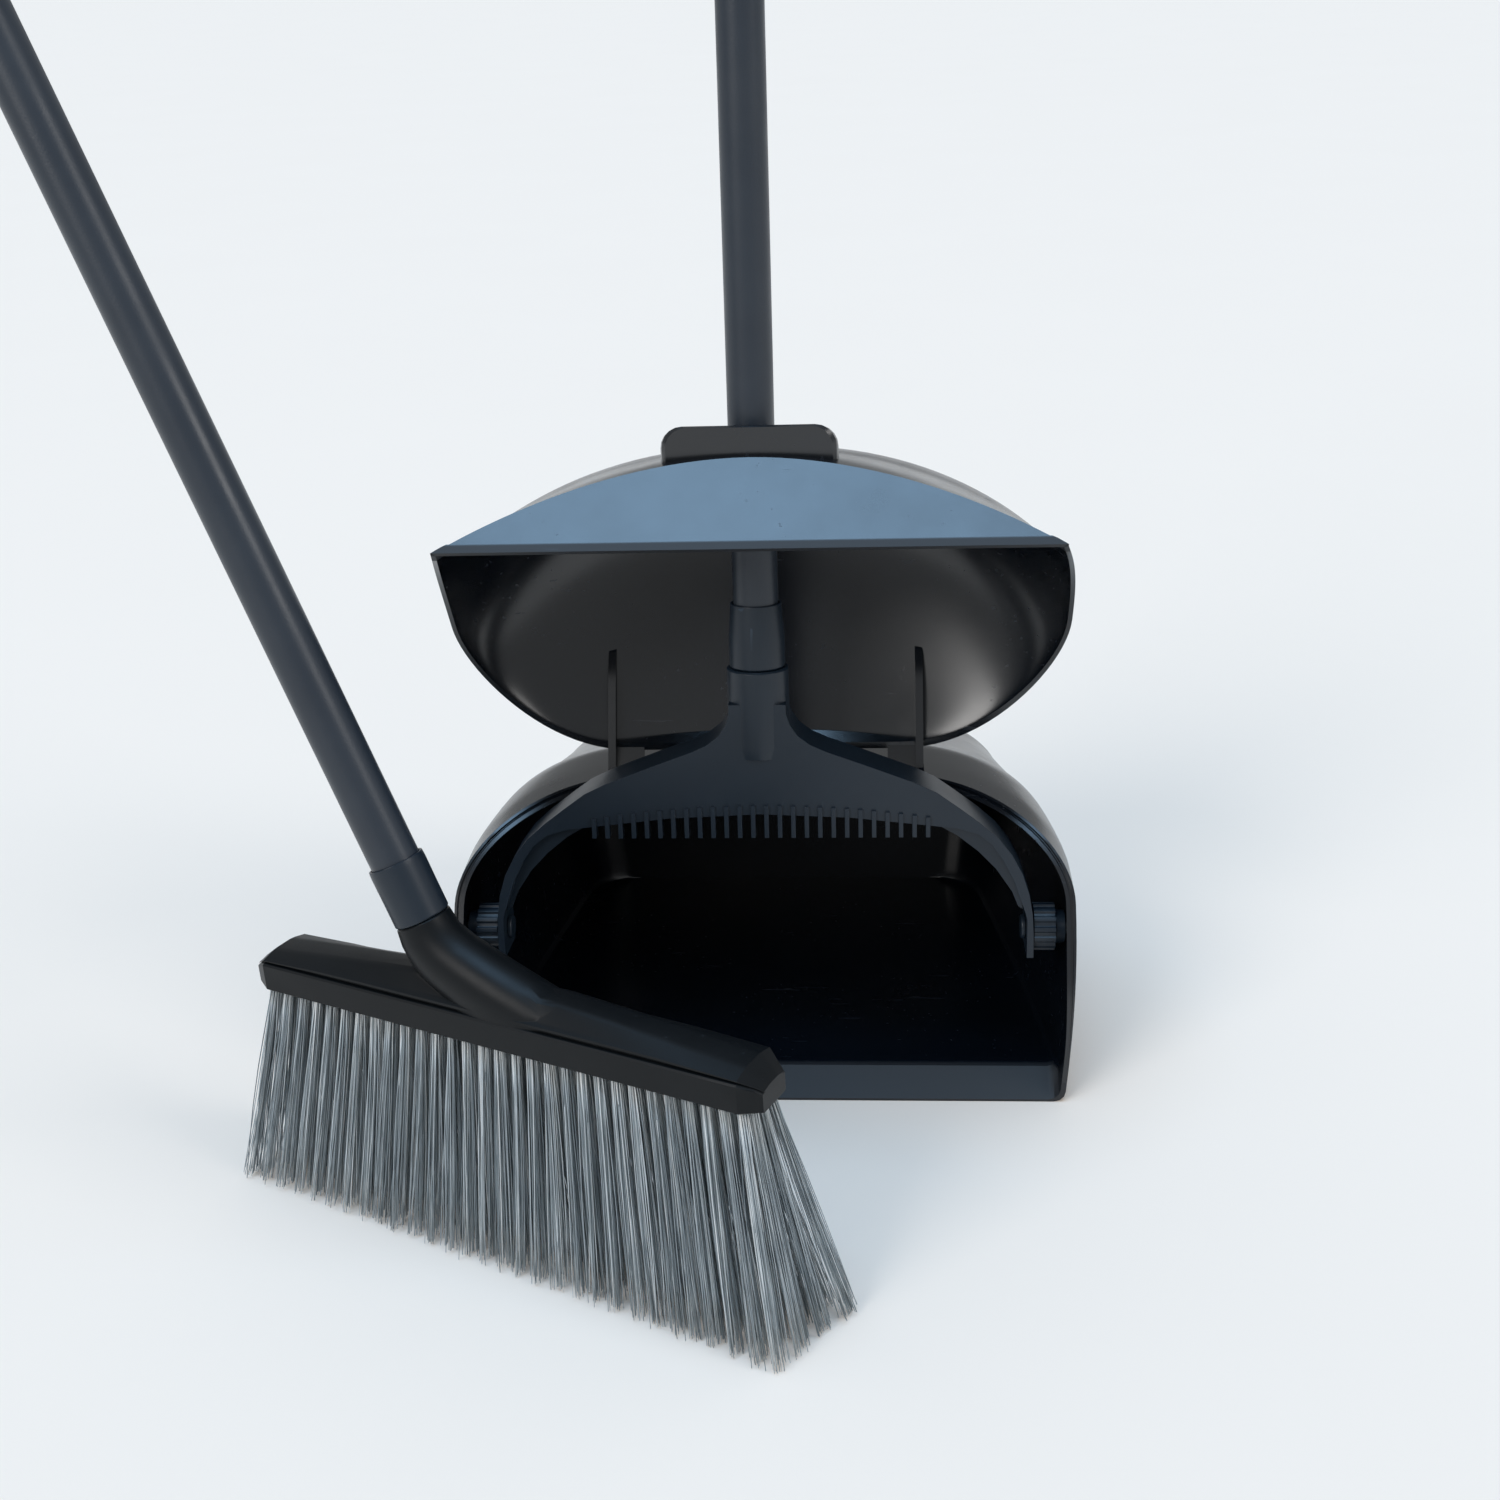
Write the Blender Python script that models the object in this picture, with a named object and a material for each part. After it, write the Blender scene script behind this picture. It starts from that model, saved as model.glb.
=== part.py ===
"""Lidded upright dust pan with a swinging lid, and an angle broom that stands beside it.

Metres, +Z up. The origin is on the floor under the pan, on the pan's middle plane. The pan's
mouth faces -Y. The pan hangs from the handle's yoke by two pivots (axis along X), and the lid
is hinged to the front edge of the pan's roof (axis along X). The lid is modelled shut, against
the mouth, and is then swung open about its hinge, which is how the set stands on a floor.
"""

import math

import bmesh
import bpy
from mathutils import Matrix, Vector

# ---------------------------------------------------------------- driving dimensions
GAP = 0.0003            # between pieces that touch
FOLD = math.radians

# pan
LIP_Y = -0.115          # front lip of the pan; everything on the pan is placed from it
PAN_DEPTH = 0.235       # lip to back wall
PAN_LIP_HALF = 0.1525   # half width at the floor
PAN_BULGE = 0.0040      # the side walls swell by this at shoulder height
PAN_BACK_HALF = PAN_LIP_HALF - 0.0265   # half width where the back corners start
PAN_HEIGHT = 0.1465     # roof above the floor at the mouth
PAN_BACK_HEIGHT = 0.122
ROOF_CROWN = 0.003
SHOULDER_Z = 0.100      # the side walls turn into the roof's rounded shoulders here
SHOULDER_X = 0.068      # and the shoulders end here
WALL = 0.0023
RIM_SIDE = WALL + 0.0025       # the mouth's thick edge, at shoulder height
RIM_FOOT = WALL + 0.0003       # the same near the floor
RIM_ROOF = WALL + 0.0011       # the same under the roof
RIM_GROOVE = 0.0016     # depth of the groove along it
MOUTH_RAKE = 0.080      # the roof's edge stands this far behind the lip
MOUTH_CURVE = 3.0
RAMP_HEIGHT = 0.0105
LIP_THICKNESS = 0.0012
FLOOR = 0.0024
BACK_CORNER = 0.030
BACK_ROUND = 0.022

# handle and yoke
PIVOT_BACK = 0.0405     # pivot axis behind the lip
PIVOT_UP = PAN_HEIGHT - 0.0675
HANDLE_LEAN = FOLD(7.3)
YOKE_DEPTH = 0.026
YOKE_SKIN = 0.003
ARM_OUT = PAN_LIP_HALF - 0.016   # outer face of each arm at the pivot
ARM_PLATE = 0.0034
TUBE_R = 0.0111
TUBE_WALL = 0.0009
NECK_R = TUBE_R + 0.0042
NECK_TOP = 0.1385       # the neck ends this far above the pivot axis
SOCKET_R = TUBE_R - 0.0021
SOCKET_DEPTH = 0.030
TEETH = 26
TOOTH_PITCH = ARM_OUT * 0.04886
TOOTH_WIDTH = 0.0022
TOOTH_BOTTOM = 0.0535
PAN_TUBE_TOP = 0.775    # end of the tube above the pivot axis
FERRULE_R = TUBE_R + 0.0027
FERRULE_LENGTH = 0.032
CUP_FLOOR = 0.006      # the tube stands this far up in its ferrule

# pivots
PIN_R = 0.0038
PIN_CLEAR = 0.0003
DRUM_R = 0.0122
DRUM_LENGTH = 0.0110
DRUM_RIBS = 14
WASHER_R = PIN_R + 0.0050

# lid
HINGE_BACK = MOUTH_RAKE + 0.006      # hinge axis behind the lip
HINGE_UP = PAN_HEIGHT - 0.0035
HINGE_PIN_R = 0.0016
LID_SWING = FOLD(121)   # from shut to open
LID_LIP_HALF = PAN_LIP_HALF - 0.0085
LID_BULGE = 0.0105
LID_HEIGHT = PAN_HEIGHT - 0.0004
LID_RAKE = MOUTH_RAKE - 0.0065
LID_FORWARD = 0.0020    # shut, the lid's edge stays this far in front of the mouth
LID_CURVE = 2.8
LID_SHOULDER_Z = SHOULDER_Z - 0.0126
LID_SHOULDER_X = SHOULDER_X + 0.003
LID_WALL = 0.0022
LID_HINGE_DEPTH = 0.006
LID_CROWN = 0.092       # deepest part of the lid
LID_FALL = 0.88         # slope from there down to the ridge
RIDGE_DEPTH = 0.0500
RIDGE_LEAN = 0.14
LIP_BAR = 0.0046
LIP_BAR_PROUD = 0.0012
ARM_RIB_X = 0.0805
ARM_RIB_WIDTH = 0.0040
TONGUE_WIDTH = 0.0145
BARREL_R = HINGE_PIN_R + 0.0026
COLLAR_HALF = 0.0415
COLLAR_LENGTH = 0.101
COLLAR_FALL = FOLD(35)  # slope of the collar's top, lid open
COLLAR_ROUND = 0.010
COLLAR_RISE = 0.0150    # over the lid's ridge
SLOT_HALF = 0.0290
SLOT_LEAN = FOLD(12)    # of its walls, from upright, lid open
SLOT_START = 0.0181 - TUBE_R     # along the collar's top, from its front edge
SLOT_END = 0.0829 + TUBE_R

# broom
HEAD_LENGTH = 0.270
HEAD_DEPTH = 0.030
HEAD_BAND = 0.0140
HEAD_END_TOP = 0.0162
HEAD_MID_TOP = 0.0255
HEAD_END_CHAMFER = 0.009
BROOM_AT = (-0.1067, LIP_Y - 0.1065)
BROOM_YAW = FOLD(25.6)
BROOM_TILT = FOLD(2.35)
BROOM_LEAN = FOLD(1.35)
BROOM_HEAD_UP = 0.1099
STICK_FOOT = -0.0299    # where the stick's axis crosses STICK_FOOT_UP over the head
STICK_FOOT_UP = 0.030
STICK_ANGLE = FOLD(23.3)
BROOM_NECK_TOP = 0.0204
BROOM_NECK_R = TUBE_R + 0.0014
NECK_SPAN = (-0.042, 0.036)      # the neck's feet along the head
BROOM_TUBE_TOP = 0.840
BROOM_FERRULE_R = TUBE_R + 0.0015
BROOM_FERRULE_LENGTH = 0.028
TUFT_ROWS = 4
TUFTS = 30
ROW_SPACING = 0.0066
ROW_SPREAD = 2.0        # the rows stand this much further apart at the tips
BRISTLE_FLARE = (0.0205, 0.0225)   # past the head's left and right ends, at the tips

# grips
GRIP_R = TUBE_R + 0.0031
GRIP_LENGTH = 0.120
GRIP_RINGS = 2
CAP_LENGTH = 0.034
HANG_HOLE_R = 0.0060
ARM_PATTERN = 0.1365    # the yoke's outline below is drawn for this ARM_OUT and scaled across to the real one

# fineness of the curved surfaces
SIDE_STEPS = 4
SHOULDER_STEPS = 7
LID_COLUMNS = 11
ROUND_SIDES = 28

# worked-out places
PIVOT = Vector((0, LIP_Y + PIVOT_BACK, PIVOT_UP))
HINGE = Vector((0, LIP_Y + HINGE_BACK, HINGE_UP))


# ---------------------------------------------------------------- materials
def material(name, colour, roughness, metallic=0.0):
    made = bpy.data.materials.new(name)
    made.use_nodes = True
    shader = made.node_tree.nodes["Principled BSDF"]
    shader.inputs["Base Color"].default_value = (*colour, 1)
    shader.inputs["Roughness"].default_value = roughness
    shader.inputs["Metallic"].default_value = metallic
    return made


def make_materials():
    return {
        "pan_plastic": material("pan_plastic", (0.012, 0.013, 0.015), 0.30),
        "yoke_plastic": material("yoke_plastic", (0.014, 0.016, 0.018), 0.45),
        "tube_paint": material("tube_paint", (0.013, 0.014, 0.016), 0.40),
        "head_plastic": material("head_plastic", (0.012, 0.012, 0.013), 0.50),
        "grip_rubber": material("grip_rubber", (0.010, 0.010, 0.010), 0.75),
        "pin_steel": material("pin_steel", (0.45, 0.45, 0.46), 0.35, 1.0),
        "bristle": material("bristle", (0.30, 0.34, 0.38), 0.55),
    }


# ---------------------------------------------------------------- mesh helpers
def add_mesh(name, points, faces, look=None, place=None):
    """A mesh object from points and faces, with its faces turned out."""
    mesh = bpy.data.meshes.new(name)
    bm = bmesh.new()
    corners = [bm.verts.new(p) for p in points]
    for face in faces:
        bm.faces.new([corners[i] for i in face])
    bmesh.ops.recalc_face_normals(bm, faces=bm.faces)
    bm.to_mesh(mesh)
    bm.free()
    mesh.shade_smooth()
    mesh.set_sharp_from_angle(angle=FOLD(32))
    made = bpy.data.objects.new(name, mesh)
    bpy.context.scene.collection.objects.link(made)
    if look:
        made.data.materials.append(look)
    if place:
        made.matrix_world = place
    return made


def loft(name, rings, look=None, place=None):
    """A closed solid through rings of equal length, its two ends filled."""
    count = len(rings[0])
    points = [p for ring in rings for p in ring]
    faces = []
    for row in range(len(rings) - 1):
        for i in range(count):
            j = (i + 1) % count
            faces.append((row * count + i, row * count + j, (row + 1) * count + j, (row + 1) * count + i))
    faces.append(tuple(range(count)))
    faces.append(tuple(range(len(points) - count, len(points))))
    return add_mesh(name, points, faces, look, place)


def loop_loft(name, rings, look=None, place=None):
    """A closed ring-shaped solid: the last ring joins the first."""
    count = len(rings[0])
    rows = len(rings)
    points = [p for ring in rings for p in ring]
    faces = []
    for row in range(rows):
        after = (row + 1) % rows
        for i in range(count):
            j = (i + 1) % count
            faces.append((row * count + i, row * count + j, after * count + j, after * count + i))
    return add_mesh(name, points, faces, look, place)


def turned(name, profile, look=None, place=None, sides=ROUND_SIDES):
    """A solid turned about Z from (radius, height) points. With no zero radius it is a sleeve."""
    rings = []
    for radius, height in profile:
        rings.append([
            Vector((radius * math.cos(2 * math.pi * k / sides), radius * math.sin(2 * math.pi * k / sides), height))
            for k in range(sides)
        ])
    return loft(name, rings, look, place)


def sleeve(name, profile, look=None, place=None, sides=ROUND_SIDES):
    """A tube turned about Z from a closed (radius, height) outline that stays off the axis."""
    rings = []
    for radius, height in profile:
        rings.append([
            Vector((radius * math.cos(2 * math.pi * k / sides), radius * math.sin(2 * math.pi * k / sides), height))
            for k in range(sides)
        ])
    return loop_loft(name, rings, look, place)


def box(name, low, high, place=None):
    corners = [Vector((x, y, z)) for x in (low[0], high[0]) for y in (low[1], high[1]) for z in (low[2], high[2])]
    faces = [(0, 1, 3, 2), (4, 6, 7, 5), (0, 4, 5, 1), (2, 3, 7, 6), (0, 2, 6, 4), (1, 5, 7, 3)]
    return add_mesh(name, corners, faces, None, place)


def prism(name, outline, start, end, look=None, place=None):
    """An outline of (a, b) points drawn along the third axis: x stays a, z stays b, y runs start to end."""
    return loft(
        name,
        [[Vector((a, start, b)) for a, b in outline], [Vector((a, end, b)) for a, b in outline]],
        look,
        place,
    )


def along_x(radius, start, end, sides, name, y=0.0, z=0.0):
    """A plain round bar along X, used as a pin or a cutter."""
    rings = []
    for x in (start, end):
        rings.append([
            Vector((x, y + radius * math.cos(2 * math.pi * k / sides), z + radius * math.sin(2 * math.pi * k / sides)))
            for k in range(sides)
        ])
    return loft(name, rings)


def helper(made):
    made.hide_render = True
    made.display_type = "WIRE"
    return made


def boolean(target, tool, operation):
    step = target.modifiers.new(operation.lower() + "_" + tool.name, "BOOLEAN")
    step.operation = operation
    step.solver = "EXACT"
    step.object = helper(tool)


def cut(target, tool):
    boolean(target, tool, "DIFFERENCE")


def unite(target, tool):
    boolean(target, tool, "UNION")


def blend(low, high, t):
    return low + (high - low) * t


def smooth(t):
    t = min(1.0, max(0.0, t))
    return t * t * (3 - 2 * t)


# ---------------------------------------------------------------- pan
def mouth_back(z):
    """How far the mouth's edge stands behind the lip at height z."""
    return MOUTH_RAKE * (max(z, 0.0) / PAN_HEIGHT) ** MOUTH_CURVE


def pan_section(back, insets, floor):
    """Ring of (x, z) round the pan's section at a distance behind the lip, bottom middle first.

    The insets are those at the foot of the side, at its shoulder and under the roof."""
    foot_inset, side_inset, roof_inset = insets
    to_corner = min(1.0, max(0.0, (back - 0.03) / (PAN_DEPTH - BACK_CORNER - 0.03))) ** 1.3
    half = blend(PAN_LIP_HALF, PAN_BACK_HALF, to_corner)
    height = blend(PAN_HEIGHT, PAN_BACK_HEIGHT, smooth((back - MOUTH_RAKE) / (PAN_DEPTH - MOUTH_RAKE)))
    turn = min(1.0, max(0.0, (back - (PAN_DEPTH - BACK_CORNER)) / BACK_CORNER))
    half -= BACK_CORNER * (1 - math.sqrt(1 - turn * turn))
    drop = min(1.0, max(0.0, (back - (PAN_DEPTH - BACK_ROUND)) / BACK_ROUND))
    height -= BACK_ROUND * (1 - math.sqrt(1 - drop * drop))
    scale = (half + PAN_BULGE) / (PAN_LIP_HALF + PAN_BULGE)
    shoulder_x = SHOULDER_X * scale
    shoulder_z = SHOULDER_Z * height / PAN_HEIGHT
    wide = half + PAN_BULGE - side_inset
    top = height - roof_inset
    corner = 0.006
    low_half = half - foot_inset
    right = [(low_half * 0.97 * k / 3, floor) for k in range(3)]
    for k in range(4):
        turn = FOLD(-90 + 30 * k)
        right.append((low_half - corner + corner * math.cos(turn), floor + corner + corner * math.sin(turn)))
    side_low = floor + corner
    for k in range(1, SIDE_STEPS):
        z = blend(side_low, shoulder_z, k / SIDE_STEPS)
        inset = blend(foot_inset, side_inset, smooth((z - 0.25 * shoulder_z) / (0.6 * shoulder_z)))
        right.append((half - inset + PAN_BULGE * math.sin(math.pi / 2 * (z - side_low) / (shoulder_z - side_low)), z))
    for k in range(SHOULDER_STEPS + 1):
        turn = FOLD(90 * k / SHOULDER_STEPS)
        right.append((
            shoulder_x + (wide - shoulder_x) * math.cos(turn),
            shoulder_z + (top - shoulder_z) * math.sin(turn),
        ))
    for k in range(1, 3):
        x = shoulder_x * (1 - k / 3)
        right.append((x, top + ROOF_CROWN * (1 - (x / shoulder_x) ** 2)))
    peak = [(0.0, top + ROOF_CROWN)]
    left = [(-x, z) for x, z in reversed(right[1:])]
    return right + peak + left


def pan_ring(back, inset, floor):
    """A section bent back to follow the mouth: in full at the lip, not at all from 0.6 of the depth on."""
    share = max(0.0, 1 - back / (0.6 * PAN_DEPTH))
    return [
        Vector((x, LIP_Y + back + mouth_back(z) * share, z))
        for x, z in pan_section(back, (inset, inset, inset), floor)
    ]


def floor_height(back):
    """Top of the pan's floor: a ramp up from the lip, then a step down behind its crest."""
    crest_front, crest_back, foot = 0.016, 0.021, 0.026
    if back <= crest_front:
        return blend(LIP_THICKNESS, RAMP_HEIGHT, back / crest_front)
    if back <= crest_back:
        return RAMP_HEIGHT
    return blend(RAMP_HEIGHT, FLOOR, min(1.0, (back - crest_back) / (foot - crest_back)))


def rim_ring(across, deep):
    """A ring on the mouth's thick edge: a share of the way from its outer to its inner side, set back."""
    outer = pan_section(0.0, (0.0, 0.0, 0.0), 0.0)
    inner = pan_section(0.0, (RIM_FOOT, RIM_SIDE, RIM_ROOF), LIP_THICKNESS)
    ring = []
    for (x, z), (ix, iz) in zip(outer, inner):
        z_here = blend(z, iz, across)
        set_back = deep * smooth((z - 0.012) / 0.06)
        ring.append(Vector((blend(x, ix, across), LIP_Y + mouth_back(z_here) + set_back, z_here)))
    return ring


def make_pan_shell(looks):
    outer_stops = (0.006, 0.035, 0.070, 0.105, 0.140, 0.175, 0.205)
    corner_turns = (30, 55, 76)
    inner_stops = (0.0085, 0.016, 0.021, 0.026, 0.055, 0.090, 0.125, 0.160, 0.190)
    outer = [pan_ring(0.0, 0.0, 0.0)]
    outer += [pan_ring(back, 0.0, 0.0) for back in outer_stops]
    for turn in corner_turns:
        outer.append(pan_ring(PAN_DEPTH - BACK_CORNER * (1 - math.sin(FOLD(turn))), 0.0, 0.0))
    inner = [rim_ring(1.0, 0.0)]
    inner += [pan_ring(back, WALL, floor_height(back)) for back in inner_stops]
    for turn in corner_turns:
        back = PAN_DEPTH - BACK_CORNER * (1 - math.sin(FOLD(turn)))
        ring = pan_ring(back, WALL, FLOOR)
        inner.append([p - Vector((0, WALL, 0)) for p in ring])
    groove = [rim_ring(0.26, 0.0), rim_ring(0.28, RIM_GROOVE), rim_ring(0.56, RIM_GROOVE), rim_ring(0.60, 0.0)]
    rings = list(reversed(outer)) + groove + inner
    shell = loft("pan_shell", rings, looks["pan_plastic"])
    add_hinge_lugs(shell)
    for side in (-1, 1):
        reach = (side * (PAN_LIP_HALF - 0.020), side * (PAN_LIP_HALF + PAN_BULGE + 0.010))
        cut(shell, along_x(PIN_R + GAP, min(reach), max(reach), 24, f"pin_hole_{side}", PIVOT.y, PIVOT.z))
    return shell


def arm_span(side):
    """X range of a lid arm's hinge barrel."""
    outer = side * (ARM_RIB_X + ARM_RIB_WIDTH / 2)
    inner = side * (ARM_RIB_X - ARM_RIB_WIDTH / 2 - TONGUE_WIDTH)
    return min(outer, inner), max(outer, inner)


def add_hinge_lugs(shell):
    """Notches in the roof's edge for the lid's arms, and a lug with a bore on each side of them."""
    lug = 0.0050
    for side in (-1, 1):
        low, high = arm_span(side)
        roof_front = LIP_Y + MOUTH_RAKE
        for tag, start, end in (("a", low - GAP - lug, low - GAP), ("b", high + GAP, high + GAP + lug)):
            block = box(
                f"lug_{side}_{tag}",
                (start, roof_front - 0.001, HINGE.z - 0.0048),
                (end, HINGE.y + 0.0075, PAN_HEIGHT - WALL / 2),
            )
            unite(shell, block)
        notch = box(
            f"arm_notch_{side}",
            (low - GAP, roof_front - 0.012, HINGE.z - 0.010),
            (high + GAP, HINGE.y + BARREL_R + 0.0030, PAN_HEIGHT + 0.02),
        )
        cut(shell, notch)
        bore = along_x(HINGE_PIN_R + 0.00012, low - lug - 0.002, high + lug + 0.002, 16, f"lug_bore_{side}", HINGE.y, HINGE.z)
        cut(shell, bore)


# ---------------------------------------------------------------- handle
def handle_place():
    """Frame on the pivot axis: x stays x, z runs up the stick, y is the yoke's back."""
    return Matrix.Translation(PIVOT) @ Matrix.Rotation(-HANDLE_LEAN, 4, "X")


def arc(centre, radius, start, end, steps):
    return [
        (
            centre[0] + radius * math.cos(FOLD(blend(start, end, k / steps))),
            centre[1] + radius * math.sin(FOLD(blend(start, end, k / steps))),
        )
        for k in range(steps + 1)
    ]


def across(outline):
    """The yoke's outline points, drawn for ARM_PATTERN, moved out or in to suit the real arm spacing."""
    return [(x * ARM_OUT / ARM_PATTERN, z) for x, z in outline]


def yoke_edges():
    """Right half of the yoke: its outer edge from the neck to the tip, and its inner edge back to the middle."""
    neck_half = NECK_R - 0.0012
    outer = [(neck_half, 0.122), (neck_half, 0.117)]
    outer += across([(0.0160, 0.1115), (0.0195, 0.1062), (0.0255, 0.1015), (0.0335, 0.0978)])
    outer += across([(0.0520, 0.0910), (0.0770, 0.0815), (0.0875, 0.0765), (0.0985, 0.0685)])
    outer += across([(0.1090, 0.0605), (0.1180, 0.0525), (0.1250, 0.0435), (0.1305, 0.0330)])
    outer += across([(0.1340, 0.0220), (0.1358, 0.0110)]) + [(ARM_OUT, 0.0), (ARM_OUT, -0.0120)]
    face = ARM_OUT - ARM_PLATE
    inner = [(face, -0.0120), (face, 0.0085)] + across([(0.1322, 0.0120), (0.1298, 0.0190)])
    inner += across([(0.1262, 0.0295), (0.1210, 0.0400), (0.1150, 0.0490), (0.1080, 0.0545)])
    inner += across([(0.0980, 0.0575), (0.0838, 0.0592), (0.0450, 0.0635), (0.0, 0.0655)])
    return outer, inner


def mirrored_outline(right_outer, right_inner):
    left_outer = [(-x, z) for x, z in reversed(right_outer)]
    left_inner = [(-x, z) for x, z in reversed(right_inner[:-1])]
    return right_outer + right_inner + left_inner + left_outer


def make_yoke(looks):
    outer, inner = yoke_edges()
    front, back = -YOKE_DEPTH / 2, YOKE_DEPTH / 2
    place = handle_place()
    yoke = prism("yoke", mirrored_outline(outer, inner), front, back, looks["yoke_plastic"], place)
    pocket_right = [(0.0, 0.0975), (0.0250, 0.0945), (0.0500, 0.0870), (0.0750, 0.0775), (0.0860, 0.0722)]
    pocket_right += [(0.0950, 0.0665), (0.0985, 0.0620), (0.0960, 0.0608), (0.0840, 0.0625), (0.0450, 0.0667), (0.0, 0.0687)]
    pocket_right = across(pocket_right)
    pocket = pocket_right + [(-x, z) for x, z in reversed(pocket_right[1:-1])]
    cut(yoke, prism("yoke_hollow", pocket, front + YOKE_SKIN, back + 0.01, None, place))
    web_right = [(0.0860, 0.0595), (0.0980, 0.0582), (0.1085, 0.0552), (0.1155, 0.0497), (0.1215, 0.0407)]
    web_right += [(0.1267, 0.0300), (0.1303, 0.0195), (0.1311, 0.0130), (0.1287, 0.0145)]
    web_right = across(web_right + [(0.1255, 0.0225), (0.1175, 0.0345), (0.1085, 0.0440), (0.0980, 0.0525)])
    for side in (-1, 1):
        web = prism(
            f"yoke_web_{side}",
            [(side * x, z) for x, z in web_right],
            front + 0.0040,
            front + 0.0068,
            None,
            place,
        )
        unite(yoke, web)
        hole = (side * (ARM_OUT - ARM_PLATE - 0.004), side * (ARM_OUT + 0.004))
        bore = along_x(PIN_R + PIN_CLEAR, min(hole), max(hole), 24, f"arm_bore_{side}")
        bore.matrix_world = place
        cut(yoke, bore)
    neck_rings = [(NECK_R - 0.0006, 0.094), (NECK_R, 0.100), (NECK_R, NECK_TOP - 0.0008), (NECK_R - 0.0008, NECK_TOP)]
    unite(yoke, turned("yoke_neck", neck_rings, None, place))
    unite_teeth(yoke, place)
    socket = [(SOCKET_R, NECK_TOP - SOCKET_DEPTH), (SOCKET_R, NECK_TOP + 0.01)]
    cut(yoke, turned("yoke_socket", socket, None, place))
    return yoke


def unite_teeth(yoke, place):
    """The comb for cleaning the broom: teeth that stand out of the plate's front and hang below its edge."""
    half_row = TOOTH_PITCH * (TEETH - 1) / 2
    width = TOOTH_WIDTH / 2
    points, faces = [], []
    for k in range(TEETH):
        x = -half_row + TOOTH_PITCH * k
        edge = 0.0655 - 0.0063 * (x / half_row) ** 2
        low, high = TOOTH_BOTTOM, edge + 0.0048
        front, back = -YOKE_DEPTH / 2 - 0.0014, -YOKE_DEPTH / 2 + 0.0040
        start = len(points)
        points += [Vector((x + dx, y, z)) for dx in (-width, width) for y in (front, back) for z in (low, high)]
        for face in ((0, 1, 3, 2), (4, 6, 7, 5), (0, 4, 5, 1), (2, 3, 7, 6), (0, 2, 6, 4), (1, 5, 7, 3)):
            faces.append(tuple(start + i for i in face))
    unite(yoke, add_mesh("yoke_teeth", points, faces, None, place))


def tube_profile(bottom, top):
    inner = TUBE_R - TUBE_WALL
    return [(TUBE_R, bottom), (TUBE_R, top), (inner, top), (inner, bottom)]


def ferrule_profile(joint, radius, length, stub_depth):
    """A cup for the tube, on a stub that screws down into a neck. Closed outline, off the axis."""
    bore = 0.0045
    floor = joint + CUP_FLOOR
    top = joint + length
    inner = TUBE_R + GAP
    stub = SOCKET_R - GAP
    return [
        (bore, joint - stub_depth), (stub, joint - stub_depth), (stub, joint + GAP),
        (radius - 0.0005, joint + GAP), (radius, joint + GAP + 0.0008), (radius, joint + 0.45 * length),
        (inner + 0.0013, top - 0.003), (inner + 0.0011, top), (inner, top), (inner, floor), (bore, floor),
    ]


def grip_profile(bottom, top):
    """A soft sleeve with rings round it. Closed outline, off the axis."""
    inner = TUBE_R + GAP
    outline = [(inner, top), (inner, bottom), (GRIP_R - 0.0016, bottom), (GRIP_R, bottom + 0.004)]
    start = bottom + 0.014
    pitch = (top - 0.014 - start) / GRIP_RINGS
    for k in range(GRIP_RINGS):
        low = start + k * pitch
        outline += [
            (GRIP_R, low), (GRIP_R - 0.0011, low + 0.0018),
            (GRIP_R - 0.0011, low + pitch - 0.0045), (GRIP_R, low + pitch - 0.0027),
        ]
    outline += [(GRIP_R, top - 0.004), (GRIP_R - 0.0016, top)]
    return outline


def make_cap(name, tube_top, place, look):
    """End cap: a plug in the tube, and a flattened lug with a hole to hang it by."""
    plug_r = TUBE_R - TUBE_WALL - GAP
    neck = [(plug_r - 0.001, tube_top - 0.022), (plug_r, tube_top - 0.020), (plug_r, tube_top + GAP)]
    neck += [(GRIP_R - 0.001, tube_top + GAP), (GRIP_R, tube_top + 0.002), (GRIP_R, tube_top + 0.007)]
    neck += [(GRIP_R - 0.003, tube_top + 0.012)]
    cap = turned(name, neck, look, place)
    half = GRIP_R - 0.0017
    top = tube_top + CAP_LENGTH - half
    outline = [(-half, tube_top + 0.006), (half, tube_top + 0.006)] + arc((0, top), half, 0, 180, 14)
    unite(cap, prism(name + "_lug", outline, -0.0045, 0.0045, None, place))
    hole = [(HANG_HOLE_R * math.cos(FOLD(20 * k)), top + HANG_HOLE_R * math.sin(FOLD(20 * k))) for k in range(18)]
    cut(cap, prism(name + "_hole", hole, -0.02, 0.02, None, place))
    return cap


def make_stick(prefix, joint, radius, length, tube_top, place, looks):
    """Ferrule, tube, grip and hanging cap on one axis. The tube stands in the ferrule's cup."""
    sleeve(f"{prefix}_ferrule", ferrule_profile(joint, radius, length, SOCKET_DEPTH - 0.004), looks["yoke_plastic"], place)
    sleeve(f"{prefix}_tube", tube_profile(joint + CUP_FLOOR + GAP, tube_top), looks["tube_paint"], place)
    grip_top = tube_top
    sleeve(f"{prefix}_grip", grip_profile(grip_top - GRIP_LENGTH, grip_top), looks["grip_rubber"], place)
    make_cap(f"{prefix}_hang_cap", tube_top, place, looks["yoke_plastic"])


# ---------------------------------------------------------------- pivots
def ribbed_ring(radius, x, ribs):
    """Ring round the X axis with square ribs."""
    ring = []
    for k in range(ribs):
        for part, reach in ((0.0, radius), (0.38, radius), (0.5, radius - 0.0011), (0.88, radius - 0.0011)):
            turn = 2 * math.pi * (k + part) / ribs
            ring.append(Vector((x, reach * math.cos(turn), reach * math.sin(turn))))
    return ring


def plain_ring(radius, x, count):
    return [
        Vector((x, radius * math.cos(2 * math.pi * k / count), radius * math.sin(2 * math.pi * k / count)))
        for k in range(count)
    ]


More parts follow.
